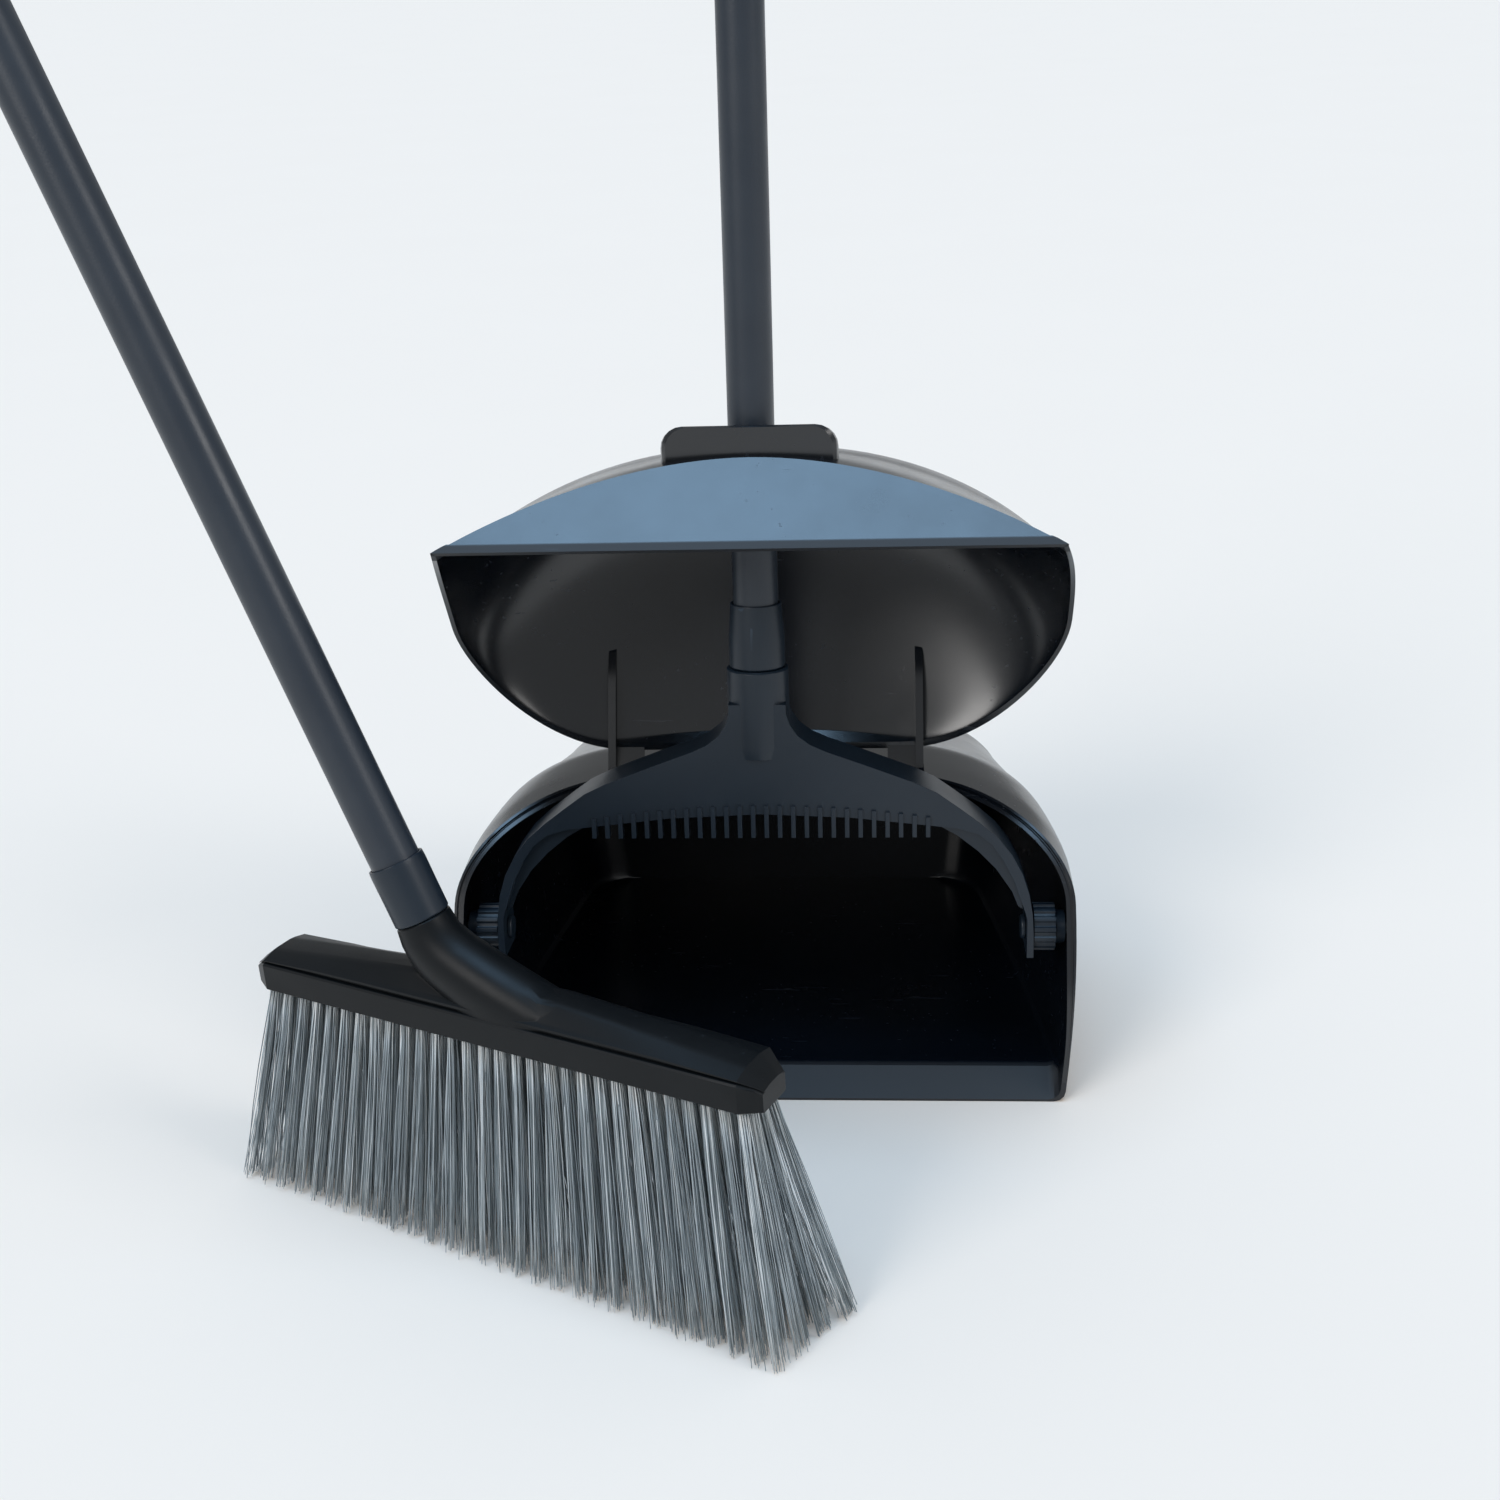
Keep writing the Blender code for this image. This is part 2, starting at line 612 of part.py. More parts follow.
def wall_at(y, z, inset):
    """Half width of the pan's side wall at a point, its outer face or, with an inset, its inner one."""
    from_lip = y - LIP_Y
    share = max(0.0, 1 - from_lip / (0.6 * PAN_DEPTH))
    section = pan_section(from_lip - mouth_back(z) * share, (inset, inset, inset), FLOOR)
    side = section[3:3 + 4 + SIDE_STEPS + SHOULDER_STEPS]
    for (x0, z0), (x1, z1) in zip(side, side[1:]):
        if z0 <= z <= z1:
            return blend(x0, x1, (z - z0) / max(1e-9, z1 - z0))
    return side[-1][0]


def narrowest_wall(radius):
    """Half width of the pan's inner face where it comes closest to a disc on the pivot axis."""
    spots = [(PIVOT.y + radius * math.cos(FOLD(t)), PIVOT.z + radius * math.sin(FOLD(t))) for t in range(0, 360, 9)]
    return min(wall_at(y, z, WALL) for y, z in spots)


def make_pivots(looks):
    """On each side: a ribbed drum and a washer between arm and wall, on a pin set in the wall."""
    wall_face = narrowest_wall(WASHER_R)
    place = Matrix.Translation(PIVOT)
    for side, word in ((-1, "left"), (1, "right")):
        start = side * (ARM_OUT + GAP)
        end = side * (ARM_OUT + GAP + DRUM_LENGTH)
        count = 4 * DRUM_RIBS
        bore = PIN_R + GAP
        rings = [
            plain_ring(bore, start, count), ribbed_ring(DRUM_R, start, DRUM_RIBS),
            ribbed_ring(DRUM_R, end, DRUM_RIBS), plain_ring(bore, end, count),
        ]
        loop_loft(f"pivot_drum_{word}", rings, looks["yoke_plastic"], place)
        washer_start = end + side * GAP
        washer_end = side * (wall_face - GAP)
        rings = [
            plain_ring(bore, washer_start, 28), plain_ring(WASHER_R, washer_start, 28),
            plain_ring(WASHER_R - 0.0006, washer_end, 28), plain_ring(bore, washer_end, 28),
        ]
        loop_loft(f"pivot_washer_{word}", rings, looks["yoke_plastic"], place)
        head_start = side * (ARM_OUT - ARM_PLATE - GAP)
        head_end = head_start - side * 0.0022
        tip = side * (wall_face + WALL)
        rings = [
            plain_ring(PIN_R + 0.0017, head_end, 24), plain_ring(PIN_R + 0.0024, head_end + side * 0.0006, 24),
            plain_ring(PIN_R + 0.0024, head_start, 24), plain_ring(PIN_R, head_start, 24),
            plain_ring(PIN_R, tip, 24),
        ]
        loft(f"pivot_pin_{word}", rings, looks["yoke_plastic"], place)


def make_hinge_pins(looks):
    for side, word in ((-1, "left"), (1, "right")):
        low, high = arm_span(side)
        reach = 0.0045
        pin = along_x(HINGE_PIN_R, low - reach, high + reach, 16, f"lid_pin_{word}", HINGE.y, HINGE.z)
        pin.data.materials.append(looks["pin_steel"])


# ---------------------------------------------------------------- lid
LID_TOP = Vector((0, LIP_Y + LID_RAKE - LID_FORWARD, LID_HEIGHT))
LID_FOOT = Vector((0, LIP_Y - LID_FORWARD, 0.0))
LID_LENGTH = (LID_FOOT - LID_TOP).length
LID_ALONG = (LID_FOOT - LID_TOP).normalized()          # from the hinge edge to the lip, lid shut
LID_OUT = Vector((0, LID_ALONG.z, -LID_ALONG.y))       # away from the pan, lid shut


def lid_open():
    """Swings the shut lid open about its hinge."""
    return Matrix.Translation(HINGE) @ Matrix.Rotation(-LID_SWING, 4, "X") @ Matrix.Translation(-HINGE)


def lid_station(step, inset=0.0):
    """Where the lid's edge lies, (half width, distance from the hinge end, depth), at a step from 0, hinge, to 2, lip."""
    wide = LID_LIP_HALF + LID_BULGE - inset
    if step < 1:
        turn = math.pi / 2 * (1 - step)
        half = LID_SHOULDER_X + (wide - LID_SHOULDER_X) * math.cos(turn)
        z = LID_SHOULDER_Z + (LID_HEIGHT - inset - LID_SHOULDER_Z) * math.sin(turn)
    else:
        z = blend(LID_SHOULDER_Z, inset, step - 1)
        half = LID_LIP_HALF - inset + LID_BULGE * math.sin(math.pi / 2 * z / LID_SHOULDER_Z)
    y = LIP_Y - LID_FORWARD + LID_RAKE * (z / LID_HEIGHT) ** LID_CURVE
    from_top = Vector((0, y, z)) - LID_TOP
    return half, from_top.dot(LID_ALONG), from_top.dot(LID_OUT)


def lid_crown(along):
    """Depth of the lid's middle over its edge."""
    rise = LID_HINGE_DEPTH + (LID_CROWN - LID_HINGE_DEPTH) * math.sin(math.pi / 2 * min(1.0, along / (0.62 * LID_LENGTH)))
    fall = RIDGE_DEPTH + (LID_LENGTH - along) * LID_FALL
    round_off = 0.016
    gap = (rise - fall) / round_off
    if gap > 4:
        return fall
    if gap < -4:
        return rise
    return min(rise, fall) - round_off * 0.25 * math.exp(-abs(gap))


def lid_arch(across, along):
    """Share of the crown's depth at a share of the half width: a full arch, flatter at the ridge."""
    flat = smooth((along - 0.62 * LID_LENGTH) / (0.38 * LID_LENGTH))
    power = blend(2.4, 1.9, flat)
    root = blend(0.72, 0.97, flat)
    return max(0.0, 1 - abs(across) ** power) ** root


def lid_point(across, step, inset=0.0, most=None):
    """Point on the lid, shut: at a share of the half width and a step from hinge to lip, no deeper than most."""
    half, along, edge = lid_station(step, inset)
    depth = max(0.0, lid_crown(along) - inset) * lid_arch(across, along)
    lean = RIDGE_LEAN * smooth((along - 0.8 * LID_LENGTH) / (0.2 * LID_LENGTH))
    if most is not None:
        depth = min(depth, most)
    return Vector((half * across, 0, 0)) + LID_TOP + LID_ALONG * (along + lean * depth) + LID_OUT * (edge + depth)


def lid_columns():
    """Shares of the half width, closer together towards the edges."""
    half = [math.sin(math.pi / 2 * k / LID_COLUMNS) for k in range(LID_COLUMNS + 1)]
    return [-s for s in reversed(half[1:])] + half


LID_STEPS = (0.0, 0.10, 0.24, 0.40, 0.56, 0.72, 0.86, 1.0, 1.16, 1.32, 1.48, 1.64, 1.78, 1.90, 2.0)


def lid_shell_mesh(looks, place):
    """Outer skin, end wall and lip bar, then the same inwards, joined round the edge."""
    columns = lid_columns()
    proud = LID_ALONG * LIP_BAR_PROUD
    out_rows = [[lid_point(c, 0.0, 0.0, 0.0) for c in columns]]
    out_rows += [[lid_point(c, step) for c in columns] for step in LID_STEPS]
    out_rows.append([lid_point(c, 2.0, 0.0, LIP_BAR + 0.0002) for c in columns])
    out_rows.append([lid_point(c, 2.0, 0.0, LIP_BAR) + proud for c in columns])
    out_rows.append([lid_point(c, 2.0, 0.0, 0.0) + proud for c in columns])
    in_rows = [[lid_point(c, 0.0, LID_WALL, 0.0) for c in columns]]
    in_rows += [[lid_point(c, step, LID_WALL) for c in columns] for step in LID_STEPS]
    in_rows.append([lid_point(c, 2.0, LID_WALL, 0.0) for c in columns])
    rows = out_rows + list(reversed(in_rows))
    width = len(columns)
    points = [p for row in rows for p in row]
    faces = []
    for r in range(len(rows)):
        after = (r + 1) % len(rows)
        for i in range(width - 1):
            faces.append((r * width + i, r * width + i + 1, after * width + i + 1, after * width + i))
    outs, ins = len(out_rows), len(in_rows)
    for i in (0, width - 1):
        near = [r * width + i for r in range(outs)]
        far = [(outs + ins - 1 - r) * width + i for r in range(ins)]
        faces += side_strip(near, far)
    return add_lid(points, faces, looks, place)


def side_strip(near, far):
    """Faces between two runs of points that start and end side by side."""
    faces = []
    i = j = 0
    while i < len(near) - 1 or j < len(far) - 1:
        if j == len(far) - 1 or (i < len(near) - 1 and i * len(far) <= j * len(near)):
            faces.append((near[i], near[i + 1], far[j]))
            i += 1
        else:
            faces.append((near[i], far[j + 1], far[j]))
            j += 1
    return faces


def add_lid(points, faces, looks, place):
    mesh = bpy.data.meshes.new("lid_shell")
    bm = bmesh.new()
    corners = [bm.verts.new(p) for p in points]
    for face in faces:
        bm.faces.new([corners[i] for i in face])
    bmesh.ops.remove_doubles(bm, verts=bm.verts, dist=1e-6)
    bmesh.ops.dissolve_degenerate(bm, edges=bm.edges, dist=1e-6)
    bmesh.ops.recalc_face_normals(bm, faces=bm.faces)
    bm.to_mesh(mesh)
    bm.free()
    mesh.shade_smooth()
    mesh.set_sharp_from_angle(angle=FOLD(32))
    made = bpy.data.objects.new("lid_shell", mesh)
    bpy.context.scene.collection.objects.link(made)
    made.data.materials.append(looks["pan_plastic"])
    made.matrix_world = place
    return made


def collar_directions():
    """In the shut lid: down the collar's sloping top, out of it, and up along its front and along the slot's walls."""
    back = Matrix.Rotation(LID_SWING, 3, "X")
    down = back @ Vector((0, math.cos(COLLAR_FALL), -math.sin(COLLAR_FALL)))
    up = back @ Vector((0, math.sin(COLLAR_FALL), math.cos(COLLAR_FALL)))
    front = back @ Vector((0, 0, 1))
    walls = back @ Vector((0, math.sin(SLOT_LEAN), math.cos(SLOT_LEAN)))
    return down, up, front, walls


def make_lid(looks):
    place = lid_open()
    lid = lid_shell_mesh(looks, place)
    ridge = lid_point(0.0, 2.0)
    down, up, front, walls = collar_directions()
    front_top = ridge + up * COLLAR_RISE + down * -0.0056
    # collar: a block with rounded upper corners, sunk into the lid's skin
    half, radius = COLLAR_HALF, COLLAR_ROUND
    section = [(half, -0.055), (half, -radius)]
    section += [(half - radius + radius * math.cos(FOLD(t)), -radius + radius * math.sin(FOLD(t))) for t in (18, 36, 54, 72, 90)]
    section = section + [(-x, z) for x, z in reversed(section)]
    rings = []
    for distance, shrink in ((0.0, 0.0025), (0.002, 0.0008), (0.005, 0.0), (COLLAR_LENGTH, 0.0)):
        rings.append([
            front_top + down * distance + front * (z - shrink) + Vector((x * (1 - shrink / half), 0, 0))
            for x, z in section
        ])
    collar = loft("lid_collar", rings, None, place)
    inside = lid_inside(place)
    cut(collar, inside)
    unite(lid, collar)
    slot_rings = []
    for z in (0.06, -0.09):
        outline = []
        corner = 0.010
        for cx, cy, start in (
            (SLOT_HALF - corner, SLOT_END - corner, 0), (-SLOT_HALF + corner, SLOT_END - corner, 90),
            (-SLOT_HALF + corner, SLOT_START + corner, 180), (SLOT_HALF - corner, SLOT_START + corner, 270),
        ):
            outline += [(cx + corner * math.cos(FOLD(start + t)), cy + corner * math.sin(FOLD(start + t))) for t in (0, 30, 60, 90)]
        slot_rings.append([front_top + down * b + walls * z + Vector((a, 0, 0)) for a, b in outline])
    add_lid_arms(lid, place)
    cut(lid, loft("lid_slot", slot_rings, None, place))
    return lid


def lid_inside(place):
    """The lid's hollow as a solid, which keeps the collar from filling it."""
    columns = lid_columns()
    rows = [[lid_point(c, step, LID_WALL * 0.5) for c in columns] for step in LID_STEPS]
    base = LID_OUT * -0.03
    rings = [row + [row[-1] + base, row[0] + base] for row in rows]
    return loft("lid_hollow", rings, None, place)


def lid_skin_at(x, step, inset):
    """Point on the lid's skin at a distance from its middle plane, with x left at 0."""
    point = lid_point(x / lid_station(step, inset)[0], step, inset)
    point.x = 0
    return point


def add_lid_arms(lid, place):
    """Each arm: a hinge barrel, a flat tongue up to the lid's hinge edge, and a deep rib up the lower half of its inside."""
    for side in (-1, 1):
        low, high = arm_span(side)
        barrel = along_x(BARREL_R, low, high, 20, f"arm_barrel_{side}", HINGE.y, HINGE.z)
        barrel.matrix_world = place
        rib_low = side * ARM_RIB_X - ARM_RIB_WIDTH / 2
        rib_high = side * ARM_RIB_X + ARM_RIB_WIDTH / 2
        skin = [lid_skin_at(ARM_RIB_X, step, LID_WALL * 0.5) for step in (0.24, 0.34, 0.44, 0.53)]
        inner = [lid_skin_at(ARM_RIB_X, step, LID_WALL * 0.5) - LID_OUT * 0.011 for step in (0.54, 0.46)]
        profile = [Vector((0, p.y, p.z)) for p in skin + inner]
        profile += [HINGE + Vector((0, -0.0035, -0.0020)), HINGE + Vector((0, 0.0015, -0.0038)), HINGE + Vector((0, 0.0030, 0.0030))]
        rings = [[Vector((x, p.y, p.z)) for p in profile] for x in (rib_low, rib_high)]
        rib = loft(f"arm_rib_{side}", rings, None, place)
        tongue_low, tongue_high = (low, rib_high) if side > 0 else (rib_low, high)
        edge_in = lid_point(0.75, 0.0, LID_WALL * 0.5, 0.0)
        edge_in.x = 0
        tongue_profile = [
            HINGE + Vector((0, 0.0005, 0.0036)), HINGE + Vector((0, -0.0036, 0.0005)),
            edge_in + LID_OUT * 0.0004, edge_in + LID_OUT * 0.0034,
        ]
        rings = [[Vector((x, p.y, p.z)) for p in tongue_profile] for x in (tongue_low, tongue_high)]
        tongue = loft(f"arm_tongue_{side}", rings, None, place)
        for piece in (barrel, tongue, rib):
            unite(lid, piece)
        bore = along_x(HINGE_PIN_R + GAP, low - 0.004, high + 0.004, 16, f"arm_pin_bore_{side}", HINGE.y, HINGE.z)
        bore.matrix_world = place
        cut(lid, bore)


# ---------------------------------------------------------------- broom
def broom_place():
    """Frame on the head's underside: x along the head, z out of its back, on the standing broom."""
    return (
        Matrix.Translation((BROOM_AT[0], BROOM_AT[1], 0))
        @ Matrix.Rotation(-BROOM_YAW, 4, "Z")
        @ Matrix.Rotation(-BROOM_LEAN, 4, "X")
        @ Matrix.Translation((0, 0, BROOM_HEAD_UP))
        @ Matrix.Rotation(-BROOM_TILT, 4, "Y")
    )


def stick_place():
    """Frame on the broom stick's axis: z up the stick."""
    return (
        broom_place()
        @ Matrix.Translation((STICK_FOOT, 0, STICK_FOOT_UP))
        @ Matrix.Rotation(-STICK_ANGLE, 4, "Y")
    )


def head_top(x):
    """Height of the head's back over its underside."""
    neck_left, neck_right = NECK_SPAN
    if x < neck_left:
        share = (x + HEAD_LENGTH / 2) / (neck_left + HEAD_LENGTH / 2)
    elif x > neck_right:
        share = (HEAD_LENGTH / 2 - x) / (HEAD_LENGTH / 2 - neck_right)
    else:
        share = 1.0
    return blend(HEAD_END_TOP, HEAD_MID_TOP, max(0.0, share) ** 0.85)


def head_section(x):
    """(y, z) round the head: flat band, groove, bead, then the tapered back. It shrinks at the very ends."""
    from_end = HEAD_LENGTH / 2 - abs(x)
    half = HEAD_DEPTH / 2 - max(0.0, HEAD_END_CHAMFER - from_end) * 0.62
    top = head_top(x)
    shrink = 1 - 0.36 * max(0.0, 1 - from_end / (0.8 * HEAD_END_CHAMFER))
    step = min(1.0, (top - HEAD_BAND) / 0.0075)
    right = [
        (half - 0.0008, 0.0), (half, 0.0008), (half, HEAD_BAND - 0.0010), (half - 0.0007, HEAD_BAND - 0.0002),
        (half - 0.0024, HEAD_BAND + 0.0002 * step), (half - 0.0024, HEAD_BAND + 0.0010 * step),
        (half - 0.0010, HEAD_BAND + 0.0018 * step), (half - 0.0010, HEAD_BAND + 0.0030 * step),
        (half - 0.0034, HEAD_BAND + 0.0044 * step), (half * 0.50, blend(HEAD_BAND, top, 0.88)), (half * 0.30, top),
    ]
    outline = right + [(-y, z) for y, z in reversed(right)]
    return [(y, z * shrink) for y, z in outline]


def make_broom_head(looks):
    place = broom_place()
    end = HEAD_LENGTH / 2
    inner_end = end - HEAD_END_CHAMFER
    stations = [-end, -end + 0.0025, -inner_end, -0.75 * inner_end, -0.55 * inner_end, NECK_SPAN[0], 0.0, NECK_SPAN[1]]
    stations += [0.50 * inner_end, 0.70 * inner_end, 0.85 * inner_end, inner_end, end - 0.0025, end]
    rings = [[Vector((x, y, z)) for y, z in head_section(x)] for x in stations]
    head = loft("broom_head", rings, looks["head_plastic"], place)
    unite(head, broom_neck(place))
    stick = stick_place()
    socket = [(SOCKET_R, BROOM_NECK_TOP - SOCKET_DEPTH), (SOCKET_R, BROOM_NECK_TOP + 0.01)]
    cut(head, turned("broom_socket", socket, None, stick))
    return head


def broom_neck(place):
    """Socket that leans with the stick and spreads into the head's back, more on its right."""
    steps = (
        # height over the head, left and right ends along it, half depth, share of the stick's tilt
        (0.0060, NECK_SPAN[0] + 0.006, NECK_SPAN[1] + 0.018, 0.0146, 0.0),
        (0.0150, NECK_SPAN[0] + 0.004, NECK_SPAN[1] + 0.016, 0.0146, 0.0),
        (0.0205, NECK_SPAN[0] + 0.002, NECK_SPAN[1] + 0.005, 0.0144, 0.0),
        (0.0262, NECK_SPAN[0] - 0.001, NECK_SPAN[1] - 0.017, 0.0141, 0.20),
        (0.0312, NECK_SPAN[0] - 0.003, NECK_SPAN[1] - 0.034, 0.0137, 0.45),
        (0.0362, NECK_SPAN[0] - 0.005, NECK_SPAN[1] - 0.0475, 0.0132, 0.72),
        (0.0412, NECK_SPAN[0] - 0.007, NECK_SPAN[1] - 0.0565, 0.0127, 0.95),
    )
    sides = 32
    rings = []
    for height, low, high, deep, lean in steps:
        tilt = STICK_ANGLE * lean
        centre, long = (low + high) / 2, (high - low) / 2
        ring = []
        for k in range(sides):
            turn = 2 * math.pi * k / sides
            a = long * math.cos(turn)
            ring.append(Vector((centre + a * math.cos(tilt), deep * math.sin(turn), height + a * math.sin(tilt))))
        rings.append(ring)
    top = Matrix.Translation((STICK_FOOT, 0, STICK_FOOT_UP)) @ Matrix.Rotation(-STICK_ANGLE, 4, "Y")
    for along, radius in ((BROOM_NECK_TOP - 0.0006, BROOM_NECK_R), (BROOM_NECK_TOP, BROOM_NECK_R - 0.0006)):
        rings.append([
            top @ Vector((radius * math.cos(2 * math.pi * k / sides), radius * math.sin(2 * math.pi * k / sides), along))
            for k in range(sides)
        ])
    return loft("broom_neck", rings, None, place)


def make_bristles(looks):
    """Rows of tufts as ribbed slabs that spread towards the tips, cut off level with the floor."""
    place = broom_place()
    inverse = place.inverted()
    half = HEAD_LENGTH / 2 - 0.004
    ribs = TUFTS // 2
    for row in range(TUFT_ROWS):
        y_root = (row - (TUFT_ROWS - 1) / 2) * ROW_SPACING
        y_tip = y_root * ROW_SPREAD
        rings = []
        for level in (0.0, 1.0):
            ring = []
            thick = blend(0.0026, 0.0052, level)
            left = -blend(half, HEAD_LENGTH / 2 + BRISTLE_FLARE[0], level)
            right = blend(half, HEAD_LENGTH / 2 + BRISTLE_FLARE[1], level)
            for side in (1, -1):
                for k in range(2 * ribs + 1):
                    share = k / (2 * ribs) if side > 0 else 1 - k / (2 * ribs)
                    wave = 0.80 + 0.20 * (k % 2)
                    x = blend(left, right, share)
                    y = blend(y_root, y_tip, level) + side * thick * wave
                    ring.append(tuft_end(x, y, place, inverse) if level else Vector((x, y, -GAP)))
            rings.append(ring)
        loft(f"bristle_row_{row + 1}", rings, looks["bristle"], place)


def tuft_end(x, y, place, inverse):
    """The point under (x, y), in the head's frame, just over the floor."""
    over_floor = 0.0003
    top = place @ Vector((x, y, 0))
    down = place.to_3x3() @ Vector((0, 0, -1))
    reach = (top.z - over_floor) / -down.z
    return inverse @ (top + down * reach)


# ---------------------------------------------------------------- whole set
def joint_empty(name, place, parent=None):
    """An empty on a joint's axis, for the pieces that move with it."""
    empty = bpy.data.objects.new(name, None)
    empty.empty_display_size = 0.02
    bpy.context.scene.collection.objects.link(empty)
    empty.location = place
    if parent:
        empty.parent = parent
        empty.matrix_parent_inverse = Matrix.Translation(-parent.location)
    return empty


def hang_on(empty, place, names):
    """Parents pieces to an empty that stands at a place, and leaves them where they are."""
    for name in names:
        piece = bpy.data.objects[name]
        piece.parent = empty
        piece.matrix_parent_inverse = Matrix.Translation(-place)


def main():
    for old in list(bpy.data.objects):
        bpy.data.objects.remove(old, do_unlink=True)
    looks = make_materials()
    make_pan_shell(looks)
    make_pivots(looks)
    make_hinge_pins(looks)
    make_yoke(looks)
    make_stick("pan", NECK_TOP, FERRULE_R, FERRULE_LENGTH, PAN_TUBE_TOP, handle_place(), looks)
    make_lid(looks)
    make_broom_head(looks)
    make_bristles(looks)
    make_stick("broom", BROOM_NECK_TOP, BROOM_FERRULE_R, BROOM_FERRULE_LENGTH, BROOM_TUBE_TOP, stick_place(), looks)
    pan_axis = joint_empty("pan_axis", PIVOT)
    lid_axis = joint_empty("lid_axis", HINGE, pan_axis)
    both = ("left", "right")
    pins = [f"{piece}_{word}" for piece in ("pivot_drum", "pivot_washer", "pivot_pin", "lid_pin") for word in both]
    hang_on(pan_axis, PIVOT, ["pan_shell"] + pins)
    hang_on(lid_axis, HINGE, ["lid_shell"])
    broom_foot = broom_place().to_translation()
    broom = joint_empty("broom_foot", broom_foot)
    rows = [f"bristle_row_{row + 1}" for row in range(TUFT_ROWS)]
    stick = [f"broom_{piece}" for piece in ("head", "ferrule", "tube", "grip", "hang_cap")]
    hang_on(broom, broom_foot, stick + rows)


main()
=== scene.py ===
"""Lidded dust pan and angle broom: the fine surfaces, materials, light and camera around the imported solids.

Metres, +Z up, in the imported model's own frame. Each piece is built here again from the same sizes at a
finer step, with softened edges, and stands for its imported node. The bristles are single strands.
"""

import math
import random

import bmesh
import bpy
from mathutils import Matrix, Vector


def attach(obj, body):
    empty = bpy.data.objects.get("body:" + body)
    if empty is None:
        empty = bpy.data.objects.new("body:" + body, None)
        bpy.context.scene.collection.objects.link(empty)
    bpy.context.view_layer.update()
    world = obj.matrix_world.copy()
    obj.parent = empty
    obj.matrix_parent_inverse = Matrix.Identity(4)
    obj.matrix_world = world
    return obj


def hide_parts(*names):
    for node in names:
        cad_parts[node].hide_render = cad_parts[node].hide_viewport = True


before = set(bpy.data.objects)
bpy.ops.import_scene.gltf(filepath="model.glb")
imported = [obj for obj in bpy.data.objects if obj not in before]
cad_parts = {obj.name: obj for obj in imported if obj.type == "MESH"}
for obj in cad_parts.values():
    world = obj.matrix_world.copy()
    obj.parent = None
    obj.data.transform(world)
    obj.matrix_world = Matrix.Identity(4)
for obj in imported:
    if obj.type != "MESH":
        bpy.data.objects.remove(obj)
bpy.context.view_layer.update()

# ---------------------------------------------------------------- driving dimensions
GAP = 0.0003            # between pieces that touch
FOLD = math.radians

# pan
LIP_Y = -0.115          # front lip of the pan; everything on the pan is placed from it
PAN_DEPTH = 0.235       # lip to back wall
PAN_LIP_HALF = 0.1525   # half width at the floor
PAN_BULGE = 0.0040      # the side walls swell by this at shoulder height
PAN_BACK_HALF = PAN_LIP_HALF - 0.0265   # half width where the back corners start
PAN_HEIGHT = 0.1465     # roof above the floor at the mouth
PAN_BACK_HEIGHT = 0.122
ROOF_CROWN = 0.003
SHOULDER_Z = 0.100      # the side walls turn into the roof's rounded shoulders here
SHOULDER_X = 0.068      # and the shoulders end here
WALL = 0.0023
RIM_SIDE = WALL + 0.0025       # the mouth's thick edge, at shoulder height
RIM_FOOT = WALL + 0.0003       # the same near the floor
RIM_ROOF = WALL + 0.0011       # the same under the roof
RIM_GROOVE = 0.0016     # depth of the groove along it
MOUTH_RAKE = 0.080      # the roof's edge stands this far behind the lip
MOUTH_CURVE = 3.0
RAMP_HEIGHT = 0.0105
LIP_THICKNESS = 0.0012
FLOOR = 0.0024
BACK_CORNER = 0.030
BACK_ROUND = 0.022

# handle and yoke
PIVOT_BACK = 0.0405     # pivot axis behind the lip
PIVOT_UP = PAN_HEIGHT - 0.0675
HANDLE_LEAN = FOLD(7.3)
YOKE_DEPTH = 0.026
YOKE_SKIN = 0.003
ARM_OUT = PAN_LIP_HALF - 0.016   # outer face of each arm at the pivot
ARM_PLATE = 0.0034
TUBE_R = 0.0111
TUBE_WALL = 0.0009
NECK_R = TUBE_R + 0.0042
NECK_TOP = 0.1385       # the neck ends this far above the pivot axis
SOCKET_R = TUBE_R - 0.0021
SOCKET_DEPTH = 0.030
TEETH = 26
TOOTH_PITCH = ARM_OUT * 0.04886
TOOTH_WIDTH = 0.0022
TOOTH_BOTTOM = 0.0535
PAN_TUBE_TOP = 0.775    # end of the tube above the pivot axis
FERRULE_R = TUBE_R + 0.0027
FERRULE_LENGTH = 0.032
CUP_FLOOR = 0.006      # the tube stands this far up in its ferrule

# pivots
PIN_R = 0.0038
PIN_CLEAR = 0.0003
DRUM_R = 0.0122
DRUM_LENGTH = 0.0110
DRUM_RIBS = 14
WASHER_R = PIN_R + 0.0050

# lid
HINGE_BACK = MOUTH_RAKE + 0.006      # hinge axis behind the lip
HINGE_UP = PAN_HEIGHT - 0.0035
HINGE_PIN_R = 0.0016
LID_SWING = FOLD(121)   # from shut to open
LID_LIP_HALF = PAN_LIP_HALF - 0.0085
LID_BULGE = 0.0105
LID_HEIGHT = PAN_HEIGHT - 0.0004
LID_RAKE = MOUTH_RAKE - 0.0065
LID_FORWARD = 0.0020    # shut, the lid's edge stays this far in front of the mouth
LID_CURVE = 2.8
LID_SHOULDER_Z = SHOULDER_Z - 0.0126
LID_SHOULDER_X = SHOULDER_X + 0.003
LID_WALL = 0.0022
LID_HINGE_DEPTH = 0.006
LID_CROWN = 0.092       # deepest part of the lid
LID_FALL = 0.88         # slope from there down to the ridge
RIDGE_DEPTH = 0.0500
RIDGE_LEAN = 0.14
LIP_BAR = 0.0046
LIP_BAR_PROUD = 0.0012
ARM_RIB_X = 0.0805
ARM_RIB_WIDTH = 0.0040
TONGUE_WIDTH = 0.0145
BARREL_R = HINGE_PIN_R + 0.0026
COLLAR_HALF = 0.0415
COLLAR_LENGTH = 0.101
